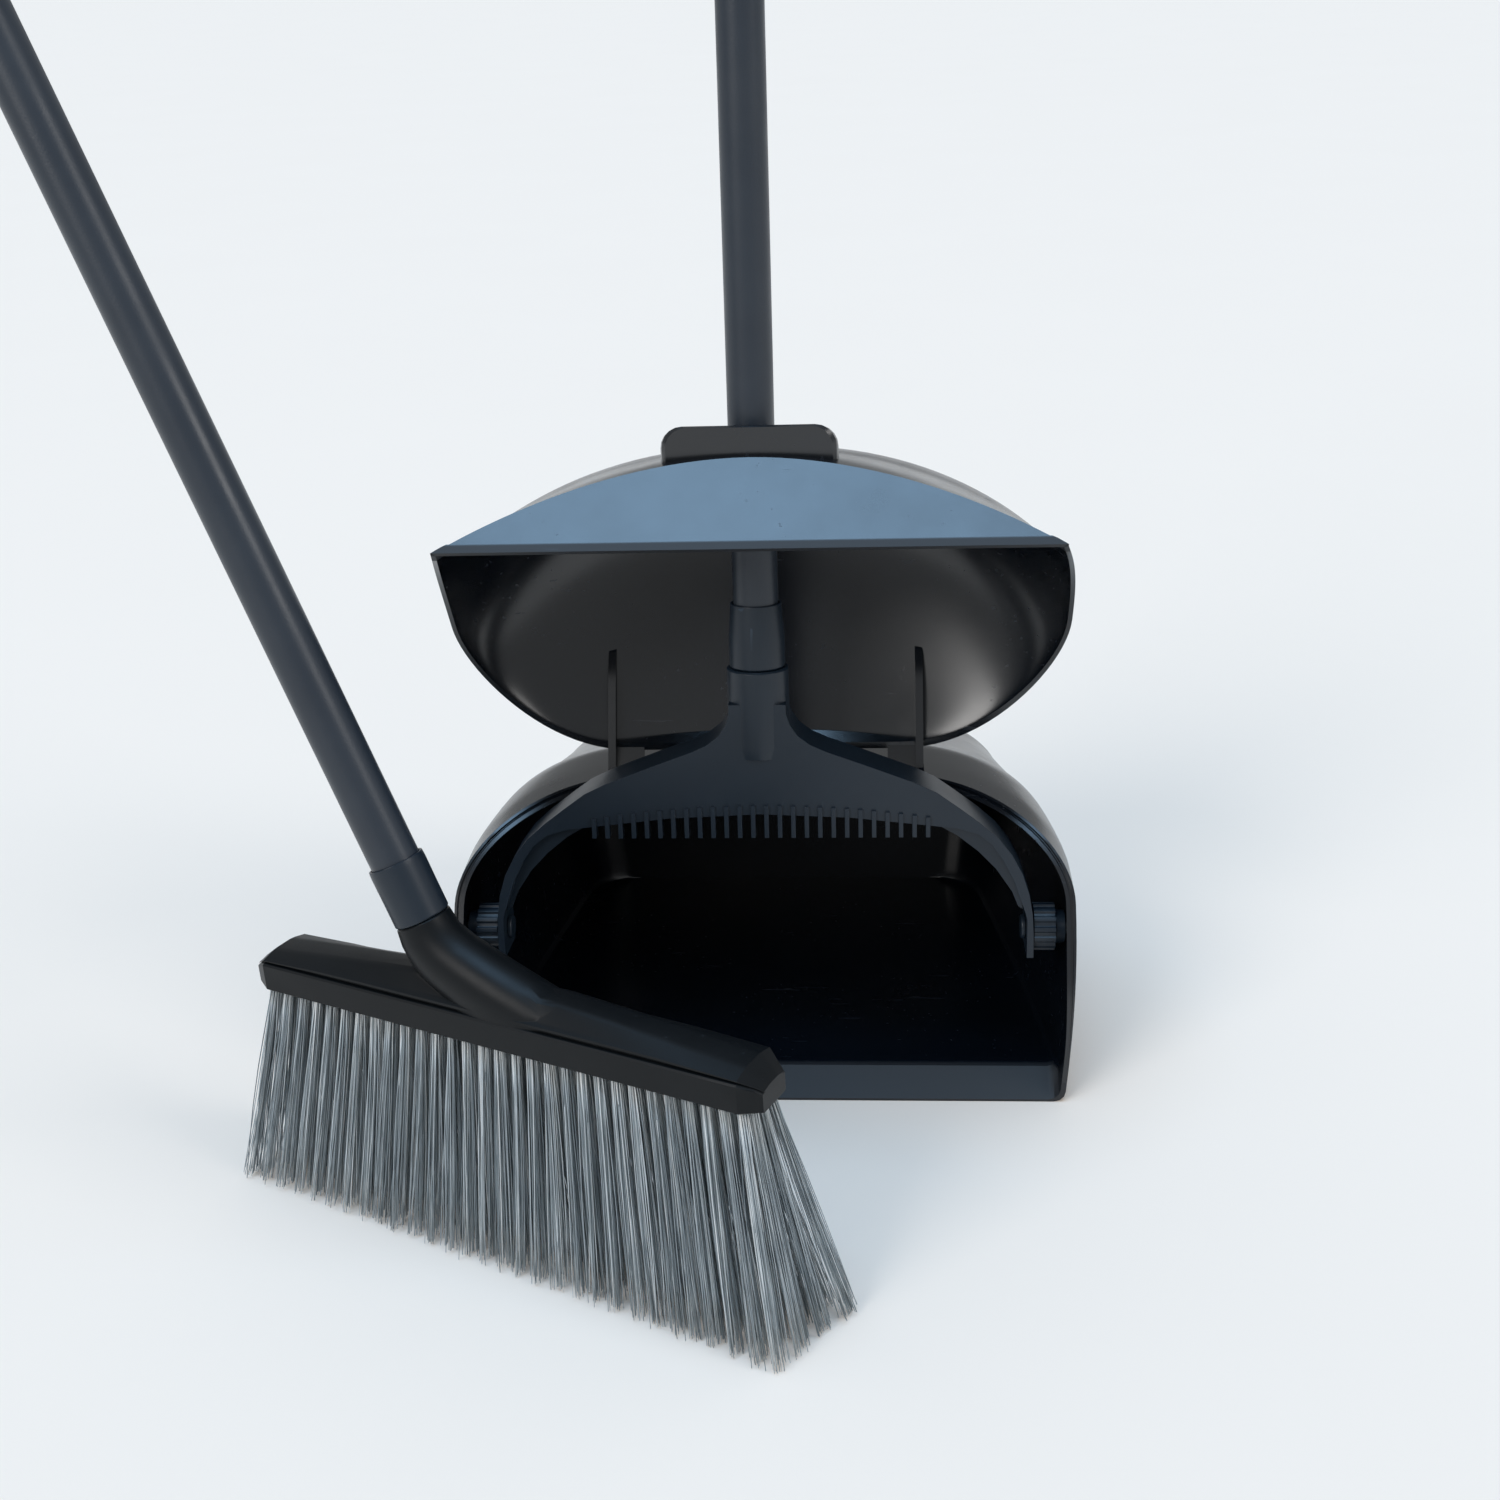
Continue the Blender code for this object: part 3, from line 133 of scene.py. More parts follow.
COLLAR_FALL = FOLD(35)  # slope of the collar's top, lid open
COLLAR_ROUND = 0.010
COLLAR_RISE = 0.0150    # over the lid's ridge
SLOT_HALF = 0.0290
SLOT_LEAN = FOLD(12)    # of its walls, from upright, lid open
SLOT_START = 0.0181 - TUBE_R     # along the collar's top, from its front edge
SLOT_END = 0.0829 + TUBE_R

# broom
HEAD_LENGTH = 0.270
HEAD_DEPTH = 0.030
HEAD_BAND = 0.0140
HEAD_END_TOP = 0.0162
HEAD_MID_TOP = 0.0255
HEAD_END_CHAMFER = 0.009
BROOM_AT = (-0.1067, LIP_Y - 0.1065)
BROOM_YAW = FOLD(25.6)
BROOM_TILT = FOLD(2.35)
BROOM_LEAN = FOLD(1.35)
BROOM_HEAD_UP = 0.1099
STICK_FOOT = -0.0299    # where the stick's axis crosses STICK_FOOT_UP over the head
STICK_FOOT_UP = 0.030
STICK_ANGLE = FOLD(23.3)
BROOM_NECK_TOP = 0.0204
BROOM_NECK_R = TUBE_R + 0.0014
NECK_SPAN = (-0.042, 0.036)      # the neck's feet along the head
BROOM_TUBE_TOP = 0.840
BROOM_FERRULE_R = TUBE_R + 0.0015
BROOM_FERRULE_LENGTH = 0.028
TUFT_ROWS = 4
TUFTS = 30
ROW_SPACING = 0.0066
ROW_SPREAD = 2.0        # the rows stand this much further apart at the tips
BRISTLE_FLARE = (0.0205, 0.0225)   # past the head's left and right ends, at the tips

# grips
GRIP_R = TUBE_R + 0.0030
GRIP_LENGTH = 0.120
GRIP_RINGS = 9
CAP_LENGTH = 0.034
HANG_HOLE_R = 0.0060
ARM_PATTERN = 0.1365    # the yoke's outline below is drawn for this ARM_OUT and scaled across to the real one

# fineness of the curved surfaces
SIDE_STEPS = 12
SHOULDER_STEPS = 24
LID_COLUMNS = 30
ROUND_SIDES = 64

# worked-out places
PIVOT = Vector((0, LIP_Y + PIVOT_BACK, PIVOT_UP))
HINGE = Vector((0, LIP_Y + HINGE_BACK, HINGE_UP))


# ---------------------------------------------------------------- materials
class Nodes:
    """A short way to add and join shader nodes."""

    def __init__(self, name):
        self.material = bpy.data.materials.new(name)
        self.material.use_nodes = True
        self.tree = self.material.node_tree
        self.shader = self.tree.nodes["Principled BSDF"]
        self.place = self.add("ShaderNodeTexCoord").outputs["Object"]

    def add(self, kind, **settings):
        node = self.tree.nodes.new(kind)
        for key, value in settings.items():
            if hasattr(node, key):
                setattr(node, key, value)
            else:
                node.inputs[key.replace("_", " ")].default_value = value
        return node

    def join(self, output, target):
        self.tree.links.new(output, target)

    def noise(self, scale, detail=4.0, roughness=0.55, stretch=None):
        node = self.add("ShaderNodeTexNoise", Scale=scale, Detail=detail, Roughness=roughness)
        place = self.place
        if stretch:
            mapping = self.add("ShaderNodeMapping")
            mapping.inputs["Scale"].default_value = stretch
            self.join(place, mapping.inputs["Vector"])
            place = mapping.outputs["Vector"]
        self.join(place, node.inputs["Vector"])
        return node.outputs["Fac"]

    def ramp(self, value, low, high, low_out, high_out):
        node = self.add("ShaderNodeMapRange")
        for key, number in (("From Min", low), ("From Max", high), ("To Min", low_out), ("To Max", high_out)):
            node.inputs[key].default_value = number
        self.join(value, node.inputs["Value"])
        return node.outputs["Result"]

    def mix(self, factor, first, second):
        node = self.add("ShaderNodeMix", data_type="RGBA")
        self.join(factor, node.inputs["Factor"])
        for socket, colour in ((node.inputs[6], first), (node.inputs[7], second)):
            if isinstance(colour, tuple):
                socket.default_value = (*colour, 1)
            else:
                self.join(colour, socket)
        return node.outputs[2]

    def math(self, operation, first, second):
        node = self.add("ShaderNodeMath", operation=operation)
        for socket, value in ((node.inputs[0], first), (node.inputs[1], second)):
            if isinstance(value, float):
                socket.default_value = value
            else:
                self.join(value, socket)
        return node.outputs[0]

    def bump(self, height, strength, distance):
        node = self.add("ShaderNodeBump", Strength=strength, Distance=distance)
        self.join(height, node.inputs["Height"])
        self.join(node.outputs["Normal"], self.shader.inputs["Normal"])
        return node


def scratches(n, amount):
    """Hairline marks in two directions, as a 0 to 1 mask."""
    masks = []
    for stretch, scale in (((9, 9, 0.7), 34.0), ((0.8, 8, 9), 30.0)):
        wave = n.noise(scale, 2.0, 0.5, stretch)
        masks.append(n.ramp(wave, 0.5 + amount, 0.5 + amount + 0.012, 0.0, 1.0))
    where = n.ramp(n.noise(14.0, 2.0), 0.50, 0.62, 0.0, 1.0)
    return n.math("MULTIPLY", n.math("MAXIMUM", masks[0], masks[1]), where)


def lip_wear(n):
    """Mask of the strip along the pan's and the lid's lip, which the floor has dulled."""
    split = n.add("ShaderNodeSeparateXYZ")
    n.join(n.place, split.inputs["Vector"])
    low = n.ramp(split.outputs["Z"], 0.0110, 0.0130, 1.0, 0.0)
    behind = n.ramp(split.outputs["Y"], LIP_Y + 0.018, LIP_Y + 0.022, 1.0, 0.0)
    front = n.ramp(split.outputs["Y"], LIP_Y - 0.0075, LIP_Y - 0.0060, 0.0, 1.0)
    return n.math("MULTIPLY", low, n.math("MULTIPLY", behind, front))


def moulded_plastic(name, tones, gloss_range, grain, scratch=0.2, specular=0.5, relief=0.12, worn=False):
    """Moulded plastic: a fine grain, uneven gloss, a little dust, and scuffs in it."""
    n = Nodes(name)
    dark, light = tones
    rough, rough_spread = gloss_range
    cloud = n.noise(7.0, 5.0, 0.6)
    base = n.mix(n.ramp(cloud, 0.35, 0.70, 0.0, 1.0), dark, light)
    mark = scratches(n, scratch)
    pale = tuple(min(1.0, c * 6 + 0.02) for c in light)
    n.join(n.mix(n.math("MULTIPLY", mark, 0.25), base, pale), n.shader.inputs["Base Color"])
    gloss = n.ramp(n.noise(19.0, 6.0, 0.65), 0.3, 0.7, rough - rough_spread, rough + rough_spread)
    gloss = n.math("ADD", gloss, n.math("MULTIPLY", mark, 0.16))
    if worn:
        gloss = n.math("MAXIMUM", gloss, n.math("MULTIPLY", lip_wear(n), 0.62))
    n.join(gloss, n.shader.inputs["Roughness"])
    n.shader.inputs["Specular IOR Level"].default_value = specular
    fine = n.noise(2600.0, 2.0, 0.5)
    flow = n.noise(24.0, 3.0, 0.5)
    height = n.math("ADD", n.math("MULTIPLY", fine, grain), n.math("MULTIPLY", flow, 0.6))
    height = n.math("SUBTRACT", height, n.math("MULTIPLY", mark, 0.4))
    n.bump(height, relief, 0.0004)
    return n.material


def coated_tube(name):
    """Satin powder coat on steel: a fine orange peel, and drawing lines along the tube."""
    n = Nodes(name)
    cloud = n.noise(11.0, 4.0, 0.6)
    tone = n.mix(n.ramp(cloud, 0.35, 0.7, 0.0, 1.0), (0.0180, 0.0250, 0.0360), (0.0260, 0.0350, 0.0480))
    n.join(tone, n.shader.inputs["Base Color"])
    n.join(n.ramp(n.noise(30.0, 5.0, 0.6), 0.3, 0.7, 0.30, 0.44), n.shader.inputs["Roughness"])
    peel = n.noise(900.0, 3.0, 0.5)
    lines = n.noise(160.0, 2.0, 0.5, (1, 1, 0.03))
    n.bump(n.math("ADD", peel, n.math("MULTIPLY", lines, 0.7)), 0.16, 0.00035)
    return n.material


def soft_rubber(name):
    n = Nodes(name)
    tone = n.mix(n.ramp(n.noise(40.0), 0.35, 0.7, 0.0, 1.0), (0.010, 0.010, 0.011), (0.022, 0.022, 0.024))
    n.join(tone, n.shader.inputs["Base Color"])
    n.join(n.ramp(n.noise(60.0, 5.0), 0.3, 0.7, 0.62, 0.82), n.shader.inputs["Roughness"])
    n.bump(n.noise(1800.0, 2.0), 0.3, 0.0003)
    return n.material


def plain_steel(name):
    n = Nodes(name)
    n.shader.inputs["Metallic"].default_value = 1.0
    n.join(n.mix(n.noise(90.0), (0.30, 0.31, 0.32), (0.48, 0.48, 0.47)), n.shader.inputs["Base Color"])
    n.join(n.ramp(n.noise(220.0, 4.0), 0.3, 0.7, 0.25, 0.45), n.shader.inputs["Roughness"])
    n.bump(n.noise(500.0, 2.0, 0.5, (0.05, 1, 1)), 0.2, 0.0002)
    return n.material


def strand_plastic(name):
    """Bristle filament: each strand has its own tint, a root painted paler as a highlight, and mottling along
    it.
    """
    n = Nodes(name)
    tint = n.add("ShaderNodeAttribute", attribute_name="tint")
    ramp = n.add("ShaderNodeValToRGB")
    stops = ramp.color_ramp
    stops.elements[0].position, stops.elements[0].color = 0.0, (0.020, 0.026, 0.032, 1)
    stops.elements[1].position, stops.elements[1].color = 1.0, (0.90, 0.92, 0.92, 1)
    middle = ((0.28, (0.14, 0.175, 0.195)), (0.60, (0.36, 0.41, 0.44)), (0.84, (0.66, 0.71, 0.73)))
    for position, colour in middle:
        stops.elements.new(position).color = (*colour, 1)
    mottle = n.ramp(n.noise(260.0, 3.0, 0.6, (1, 1, 0.12)), 0.3, 0.7, -0.10, 0.10)
    n.join(n.math("ADD", tint.outputs["Fac"], mottle), ramp.inputs["Fac"])
    n.join(ramp.outputs["Color"], n.shader.inputs["Base Color"])
    n.join(n.ramp(n.noise(120.0), 0.3, 0.7, 0.30, 0.50), n.shader.inputs["Roughness"])
    n.bump(n.noise(1500.0, 2.0, 0.5, (1, 1, 0.1)), 0.15, 0.0002)
    return n.material


def make_materials():
    pan_tones = (0.0012, 0.0024, 0.0048), (0.0026, 0.0050, 0.0092)
    yoke_tones = (0.0065, 0.0135, 0.0230), (0.0110, 0.0205, 0.0330)
    head_tones = (0.0020, 0.0030, 0.0040), (0.0040, 0.0056, 0.0072)
    return {
        "pan_plastic": moulded_plastic("pan_gloss", pan_tones, (0.24, 0.04), 0.12, 0.2, 0.75, 0.06, True),
        "yoke_plastic": moulded_plastic("yoke_satin", yoke_tones, (0.38, 0.05), 0.6, 0.24, 0.45),
        "tube_paint": coated_tube("tube_coat"),
        "head_plastic": moulded_plastic("head_satin", head_tones, (0.42, 0.05), 0.7, 0.24, 0.22),
        "grip_rubber": soft_rubber("grip_soft"),
        "pin_steel": plain_steel("pin_plain"),
        "bristle": strand_plastic("bristle_strand"),
    }


# ---------------------------------------------------------------- mesh helpers
def add_mesh(name, points, faces, look=None, place=None):
    """A mesh object from points and faces, with its faces turned out."""
    mesh = bpy.data.meshes.new(name)
    bm = bmesh.new()
    corners = [bm.verts.new(p) for p in points]
    for face in faces:
        bm.faces.new([corners[i] for i in face])
    bmesh.ops.recalc_face_normals(bm, faces=bm.faces)
    bm.to_mesh(mesh)
    bm.free()
    mesh.shade_smooth()
    mesh.set_sharp_from_angle(angle=FOLD(32))
    made = bpy.data.objects.new(name, mesh)
    bpy.context.scene.collection.objects.link(made)
    if look:
        made.data.materials.append(look)
    if place:
        made.matrix_world = place
    return made


def loft(name, rings, look=None, place=None):
    """A closed solid through rings of equal length, its two ends filled."""
    count = len(rings[0])
    points = [p for ring in rings for p in ring]
    faces = []
    for row in range(len(rings) - 1):
        for i in range(count):
            j = (i + 1) % count
            faces.append((row * count + i, row * count + j, (row + 1) * count + j, (row + 1) * count + i))
    faces.append(tuple(range(count)))
    faces.append(tuple(range(len(points) - count, len(points))))
    return add_mesh(name, points, faces, look, place)


def loop_loft(name, rings, look=None, place=None):
    """A closed ring-shaped solid: the last ring joins the first."""
    count = len(rings[0])
    rows = len(rings)
    points = [p for ring in rings for p in ring]
    faces = []
    for row in range(rows):
        after = (row + 1) % rows
        for i in range(count):
            j = (i + 1) % count
            faces.append((row * count + i, row * count + j, after * count + j, after * count + i))
    return add_mesh(name, points, faces, look, place)


def round_at(centre, radius, turns):
    """Points on a circle round a centre, at these angles in degrees."""
    return [(centre[0] + radius * math.cos(FOLD(t)), centre[1] + radius * math.sin(FOLD(t))) for t in turns]


def circle(radius, sides):
    """Even points round a whole circle on the origin."""
    return round_at((0, 0), radius, [360 * k / sides for k in range(sides)])


def turned(name, profile, look=None, place=None, sides=ROUND_SIDES):
    """A solid turned about Z from (radius, height) points. With no zero radius it is a sleeve."""
    rings = [[Vector((a, b, height)) for a, b in circle(radius, sides)] for radius, height in profile]
    return loft(name, rings, look, place)


def sleeve(name, profile, look=None, place=None, sides=ROUND_SIDES):
    """A tube turned about Z from a closed (radius, height) outline that stays off the axis."""
    rings = [[Vector((a, b, height)) for a, b in circle(radius, sides)] for radius, height in profile]
    return loop_loft(name, rings, look, place)


BOX_FACES = ((0, 1, 3, 2), (4, 6, 7, 5), (0, 4, 5, 1), (2, 3, 7, 6), (0, 2, 6, 4), (1, 5, 7, 3))


def box_corners(low, high):
    return [Vector((x, y, z)) for x in (low[0], high[0]) for y in (low[1], high[1]) for z in (low[2], high[2])]


def box(name, low, high, place=None):
    return add_mesh(name, box_corners(low, high), BOX_FACES, None, place)


def prism(name, outline, start, end, look=None, place=None):
    """An outline of (a, b) points drawn along the third axis: x stays a, z stays b, y runs start to end."""
    return loft(
        name,
        [[Vector((a, start, b)) for a, b in outline], [Vector((a, end, b)) for a, b in outline]],
        look,
        place,
    )


def along_x(radius, start, end, sides, name, y=0.0, z=0.0):
    """A plain round bar along X, used as a pin or a cutter."""
    return loft(name, [[Vector((x, y + a, z + b)) for a, b in circle(radius, sides)] for x in (start, end)])


def helper(made):
    made.hide_render = True
    made.display_type = "WIRE"
    return made


def boolean(target, tool, operation):
    step = target.modifiers.new(operation.lower() + "_" + tool.name, "BOOLEAN")
    step.operation = operation
    step.solver = "EXACT"
    step.object = helper(tool)


def cut(target, tool):
    boolean(target, tool, "DIFFERENCE")


def unite(target, tool):
    boolean(target, tool, "UNION")


def blend(low, high, t):
    return low + (high - low) * t


def smooth(t):
    t = min(1.0, max(0.0, t))
    return t * t * (3 - 2 * t)


# ---------------------------------------------------------------- pan
def mouth_back(z):
    """How far the mouth's edge stands behind the lip at height z."""
    return MOUTH_RAKE * (max(z, 0.0) / PAN_HEIGHT) ** MOUTH_CURVE


def pan_section(back, insets, floor):
    """Ring of (x, z) round the pan's section at a distance behind the lip, bottom middle first.

    The insets are those at the foot of the side, at its shoulder and under the roof."""
    foot_inset, side_inset, roof_inset = insets
    to_corner = min(1.0, max(0.0, (back - 0.03) / (PAN_DEPTH - BACK_CORNER - 0.03))) ** 1.3
    half = blend(PAN_LIP_HALF, PAN_BACK_HALF, to_corner)
    height = blend(PAN_HEIGHT, PAN_BACK_HEIGHT, smooth((back - MOUTH_RAKE) / (PAN_DEPTH - MOUTH_RAKE)))
    turn = min(1.0, max(0.0, (back - (PAN_DEPTH - BACK_CORNER)) / BACK_CORNER))
    half -= BACK_CORNER * (1 - math.sqrt(1 - turn * turn))
    drop = min(1.0, max(0.0, (back - (PAN_DEPTH - BACK_ROUND)) / BACK_ROUND))
    height -= BACK_ROUND * (1 - math.sqrt(1 - drop * drop))
    scale = (half + PAN_BULGE) / (PAN_LIP_HALF + PAN_BULGE)
    shoulder_x = SHOULDER_X * scale
    shoulder_z = SHOULDER_Z * height / PAN_HEIGHT
    wide = half + PAN_BULGE - side_inset
    top = height - roof_inset
    corner = 0.006
    low_half = half - foot_inset
    right = [(low_half * 0.97 * k / 3, floor) for k in range(3)]
    for k in range(4):
        turn = FOLD(-90 + 30 * k)
        right.append((low_half - corner + corner * math.cos(turn), floor + corner + corner * math.sin(turn)))
    side_low = floor + corner
    for k in range(1, SIDE_STEPS):
        z = blend(side_low, shoulder_z, k / SIDE_STEPS)
        inset = blend(foot_inset, side_inset, smooth((z - 0.25 * shoulder_z) / (0.6 * shoulder_z)))
        bulge = PAN_BULGE * math.sin(math.pi / 2 * (z - side_low) / (shoulder_z - side_low))
        right.append((half - inset + bulge, z))
    for k in range(SHOULDER_STEPS + 1):
        turn = FOLD(90 * k / SHOULDER_STEPS)
        right.append((
            shoulder_x + (wide - shoulder_x) * math.cos(turn),
            shoulder_z + (top - shoulder_z) * math.sin(turn),
        ))
    for k in range(1, 8):
        x = shoulder_x * (1 - k / 8)
        right.append((x, top + ROOF_CROWN * (1 - (x / shoulder_x) ** 2)))
    peak = [(0.0, top + ROOF_CROWN)]
    left = [(-x, z) for x, z in reversed(right[1:])]
    return right + peak + left


def pan_ring(back, inset, floor):
    """A section bent back to follow the mouth: in full at the lip, not at all from 0.6 of the depth on."""
    share = max(0.0, 1 - back / (0.6 * PAN_DEPTH))
    return [
        Vector((x, LIP_Y + back + mouth_back(z) * share, z))
        for x, z in pan_section(back, (inset, inset, inset), floor)
    ]


def floor_height(back):
    """Top of the pan's floor: a ramp up from the lip, then a step down behind its crest."""
    crest_front, crest_back, foot = 0.016, 0.021, 0.026
    if back <= crest_front:
        return blend(LIP_THICKNESS, RAMP_HEIGHT, back / crest_front)
    if back <= crest_back:
        return RAMP_HEIGHT
    return blend(RAMP_HEIGHT, FLOOR, min(1.0, (back - crest_back) / (foot - crest_back)))


def rim_ring(across, deep):
    """A ring on the mouth's thick edge: a share of the way from its outer to its inner side, set back."""
    outer = pan_section(0.0, (0.0, 0.0, 0.0), 0.0)
    inner = pan_section(0.0, (RIM_FOOT, RIM_SIDE, RIM_ROOF), LIP_THICKNESS)
    ring = []
    for (x, z), (ix, iz) in zip(outer, inner):
        z_here = blend(z, iz, across)
        set_back = deep * smooth((z - 0.012) / 0.06)
        ring.append(Vector((blend(x, ix, across), LIP_Y + mouth_back(z_here) + set_back, z_here)))
    return ring


def make_pan_shell(looks):
    outer_stops = [0.003, 0.006] + [0.006 + 0.199 * k / 24 for k in range(1, 25)]
    corner_turns = (10, 20, 30, 40, 50, 60, 69, 77, 84)
    inner_stops = [0.0085, 0.012, 0.016, 0.021, 0.026] + [0.026 + 0.164 * k / 16 for k in range(1, 17)]
    outer = [pan_ring(0.0, 0.0, 0.0)]
    outer += [pan_ring(back, 0.0, 0.0) for back in outer_stops]
    for turn in corner_turns:
        outer.append(pan_ring(PAN_DEPTH - BACK_CORNER * (1 - math.sin(FOLD(turn))), 0.0, 0.0))
    inner = [rim_ring(1.0, 0.0)]
    inner += [pan_ring(back, WALL, floor_height(back)) for back in inner_stops]
    for turn in corner_turns:
        back = PAN_DEPTH - BACK_CORNER * (1 - math.sin(FOLD(turn)))
        ring = pan_ring(back, WALL, FLOOR)
        inner.append([p - Vector((0, WALL, 0)) for p in ring])
    groove_steps = ((0.26, 0.0), (0.28, RIM_GROOVE), (0.56, RIM_GROOVE), (0.60, 0.0))
    groove = [rim_ring(share, deep) for share, deep in groove_steps]
    rings = list(reversed(outer)) + groove + inner
    shell = loft("pan_shell", rings, looks["pan_plastic"])
    add_hinge_lugs(shell)
    for side in (-1, 1):
        reach = (side * (PAN_LIP_HALF - 0.020), side * (PAN_LIP_HALF + PAN_BULGE + 0.010))
        cut(shell, along_x(PIN_R + GAP, min(reach), max(reach), 24, f"pin_hole_{side}", PIVOT.y, PIVOT.z))
    return shell


def arm_span(side):
    """X range of a lid arm's hinge barrel."""
    outer = side * (ARM_RIB_X + ARM_RIB_WIDTH / 2)
    inner = side * (ARM_RIB_X - ARM_RIB_WIDTH / 2 - TONGUE_WIDTH)
    return min(outer, inner), max(outer, inner)


def add_hinge_lugs(shell):
    """Notches in the roof's edge for the lid's arms, and a lug with a bore on each side of them."""
    lug = 0.0050
    for side in (-1, 1):
        low, high = arm_span(side)
        roof_front = LIP_Y + MOUTH_RAKE
        for tag, start, end in (("a", low - GAP - lug, low - GAP), ("b", high + GAP, high + GAP + lug)):
            block = box(
                f"lug_{side}_{tag}",
                (start, roof_front - 0.001, HINGE.z - 0.0048),
                (end, HINGE.y + 0.0075, PAN_HEIGHT - WALL / 2),
            )
            unite(shell, block)
        notch = box(
            f"arm_notch_{side}",
            (low - GAP, roof_front - 0.012, HINGE.z - 0.010),
            (high + GAP, HINGE.y + BARREL_R + 0.0030, PAN_HEIGHT + 0.02),
        )
        cut(shell, notch)
        ends = low - lug - 0.002, high + lug + 0.002
        bore = along_x(HINGE_PIN_R + 0.00012, *ends, 16, f"lug_bore_{side}", HINGE.y, HINGE.z)
        cut(shell, bore)


# ---------------------------------------------------------------- handle
def handle_place():
    """Frame on the pivot axis: x stays x, z runs up the stick, y is the yoke's back."""
    return Matrix.Translation(PIVOT) @ Matrix.Rotation(-HANDLE_LEAN, 4, "X")


def arc(centre, radius, start, end, steps):
    return round_at(centre, radius, [blend(start, end, k / steps) for k in range(steps + 1)])


def across(outline):
    """The yoke's outline points, drawn for ARM_PATTERN, moved out or in to suit the real arm spacing."""
    return [(x * ARM_OUT / ARM_PATTERN, z) for x, z in outline]


def yoke_edges():
    """Right half of the yoke: its outer edge from the neck to the tip, and its inner edge back."""
    neck_half = NECK_R - 0.0012
    outer = [(neck_half, 0.122), (neck_half, 0.117)]
    outer += across([(0.0160, 0.1115), (0.0195, 0.1062), (0.0255, 0.1015), (0.0335, 0.0978)])
    outer += across([(0.0520, 0.0910), (0.0770, 0.0815), (0.0875, 0.0765), (0.0985, 0.0685)])
    outer += across([(0.1090, 0.0605), (0.1180, 0.0525), (0.1250, 0.0435), (0.1305, 0.0330)])
    outer += across([(0.1340, 0.0220), (0.1358, 0.0110)]) + [(ARM_OUT, 0.0), (ARM_OUT, -0.0120)]
    face = ARM_OUT - ARM_PLATE
    inner = [(face, -0.0120), (face, 0.0085)] + across([(0.1322, 0.0120), (0.1298, 0.0190)])
    inner += across([(0.1262, 0.0295), (0.1210, 0.0400), (0.1150, 0.0490), (0.1080, 0.0545)])
    inner += across([(0.0980, 0.0575), (0.0838, 0.0592), (0.0450, 0.0635), (0.0, 0.0655)])
    return outer, inner


def mirrored_outline(right_outer, right_inner):
    left_outer = [(-x, z) for x, z in reversed(right_outer)]
    left_inner = [(-x, z) for x, z in reversed(right_inner[:-1])]
    return right_outer + right_inner + left_inner + left_outer


def make_yoke(looks):
    outer, inner = yoke_edges()
    front, back = -YOKE_DEPTH / 2, YOKE_DEPTH / 2
    place = handle_place()
    yoke = prism("yoke", mirrored_outline(outer, inner), front, back, looks["yoke_plastic"], place)
    pocket_right = [(0.0, 0.0975), (0.0250, 0.0945), (0.0500, 0.0870), (0.0750, 0.0775), (0.0860, 0.0722)]
    pocket_right += [(0.0950, 0.0665), (0.0985, 0.0620), (0.0960, 0.0608), (0.0840, 0.0625)]
    pocket_right += [(0.0450, 0.0667), (0.0, 0.0687)]
    pocket_right = across(pocket_right)
    pocket = pocket_right + [(-x, z) for x, z in reversed(pocket_right[1:-1])]
    cut(yoke, prism("yoke_hollow", pocket, front + YOKE_SKIN, back + 0.01, None, place))
    web_right = [(0.0860, 0.0595), (0.0980, 0.0582), (0.1085, 0.0552), (0.1155, 0.0497), (0.1215, 0.0407)]
    web_right += [(0.1267, 0.0300), (0.1303, 0.0195), (0.1311, 0.0130), (0.1287, 0.0145)]
    web_right = across(web_right + [(0.1255, 0.0225), (0.1175, 0.0345), (0.1085, 0.0440), (0.0980, 0.0525)])
    for side in (-1, 1):
        web = prism(
            f"yoke_web_{side}",
            [(side * x, z) for x, z in web_right],
            front + 0.0040,
            front + 0.0068,
            None,
            place,
        )
        unite(yoke, web)
        hole = (side * (ARM_OUT - ARM_PLATE - 0.004), side * (ARM_OUT + 0.004))
        bore = along_x(PIN_R + PIN_CLEAR, min(hole), max(hole), 24, f"arm_bore_{side}")
        bore.matrix_world = place
        cut(yoke, bore)
    neck_rings = [(NECK_R - 0.0006, 0.094), (NECK_R, 0.100)]
    neck_rings += [(NECK_R, NECK_TOP - 0.0008), (NECK_R - 0.0008, NECK_TOP)]
    unite(yoke, turned("yoke_neck", neck_rings, None, place))
    unite_teeth(yoke, place)
    socket = [(SOCKET_R, NECK_TOP - SOCKET_DEPTH), (SOCKET_R, NECK_TOP + 0.01)]
    cut(yoke, turned("yoke_socket", socket, None, place))
    return yoke


def unite_teeth(yoke, place):
    """The comb for cleaning the broom: teeth that stand out of the plate's front and hang below its edge."""
    half_row = TOOTH_PITCH * (TEETH - 1) / 2
    width = TOOTH_WIDTH / 2
    points, faces = [], []
    for k in range(TEETH):
        x = -half_row + TOOTH_PITCH * k
        edge = 0.0655 - 0.0063 * (x / half_row) ** 2
        low, high = TOOTH_BOTTOM, edge + 0.0048
        front, back = -YOKE_DEPTH / 2 - 0.0014, -YOKE_DEPTH / 2 + 0.0040
        start = len(points)
        points += box_corners((x - width, front, low), (x + width, back, high))
        for face in BOX_FACES:
            faces.append(tuple(start + i for i in face))
    unite(yoke, add_mesh("yoke_teeth", points, faces, None, place))


def tube_profile(bottom, top):
    inner = TUBE_R - TUBE_WALL
    return [(TUBE_R, bottom), (TUBE_R, top), (inner, top), (inner, bottom)]


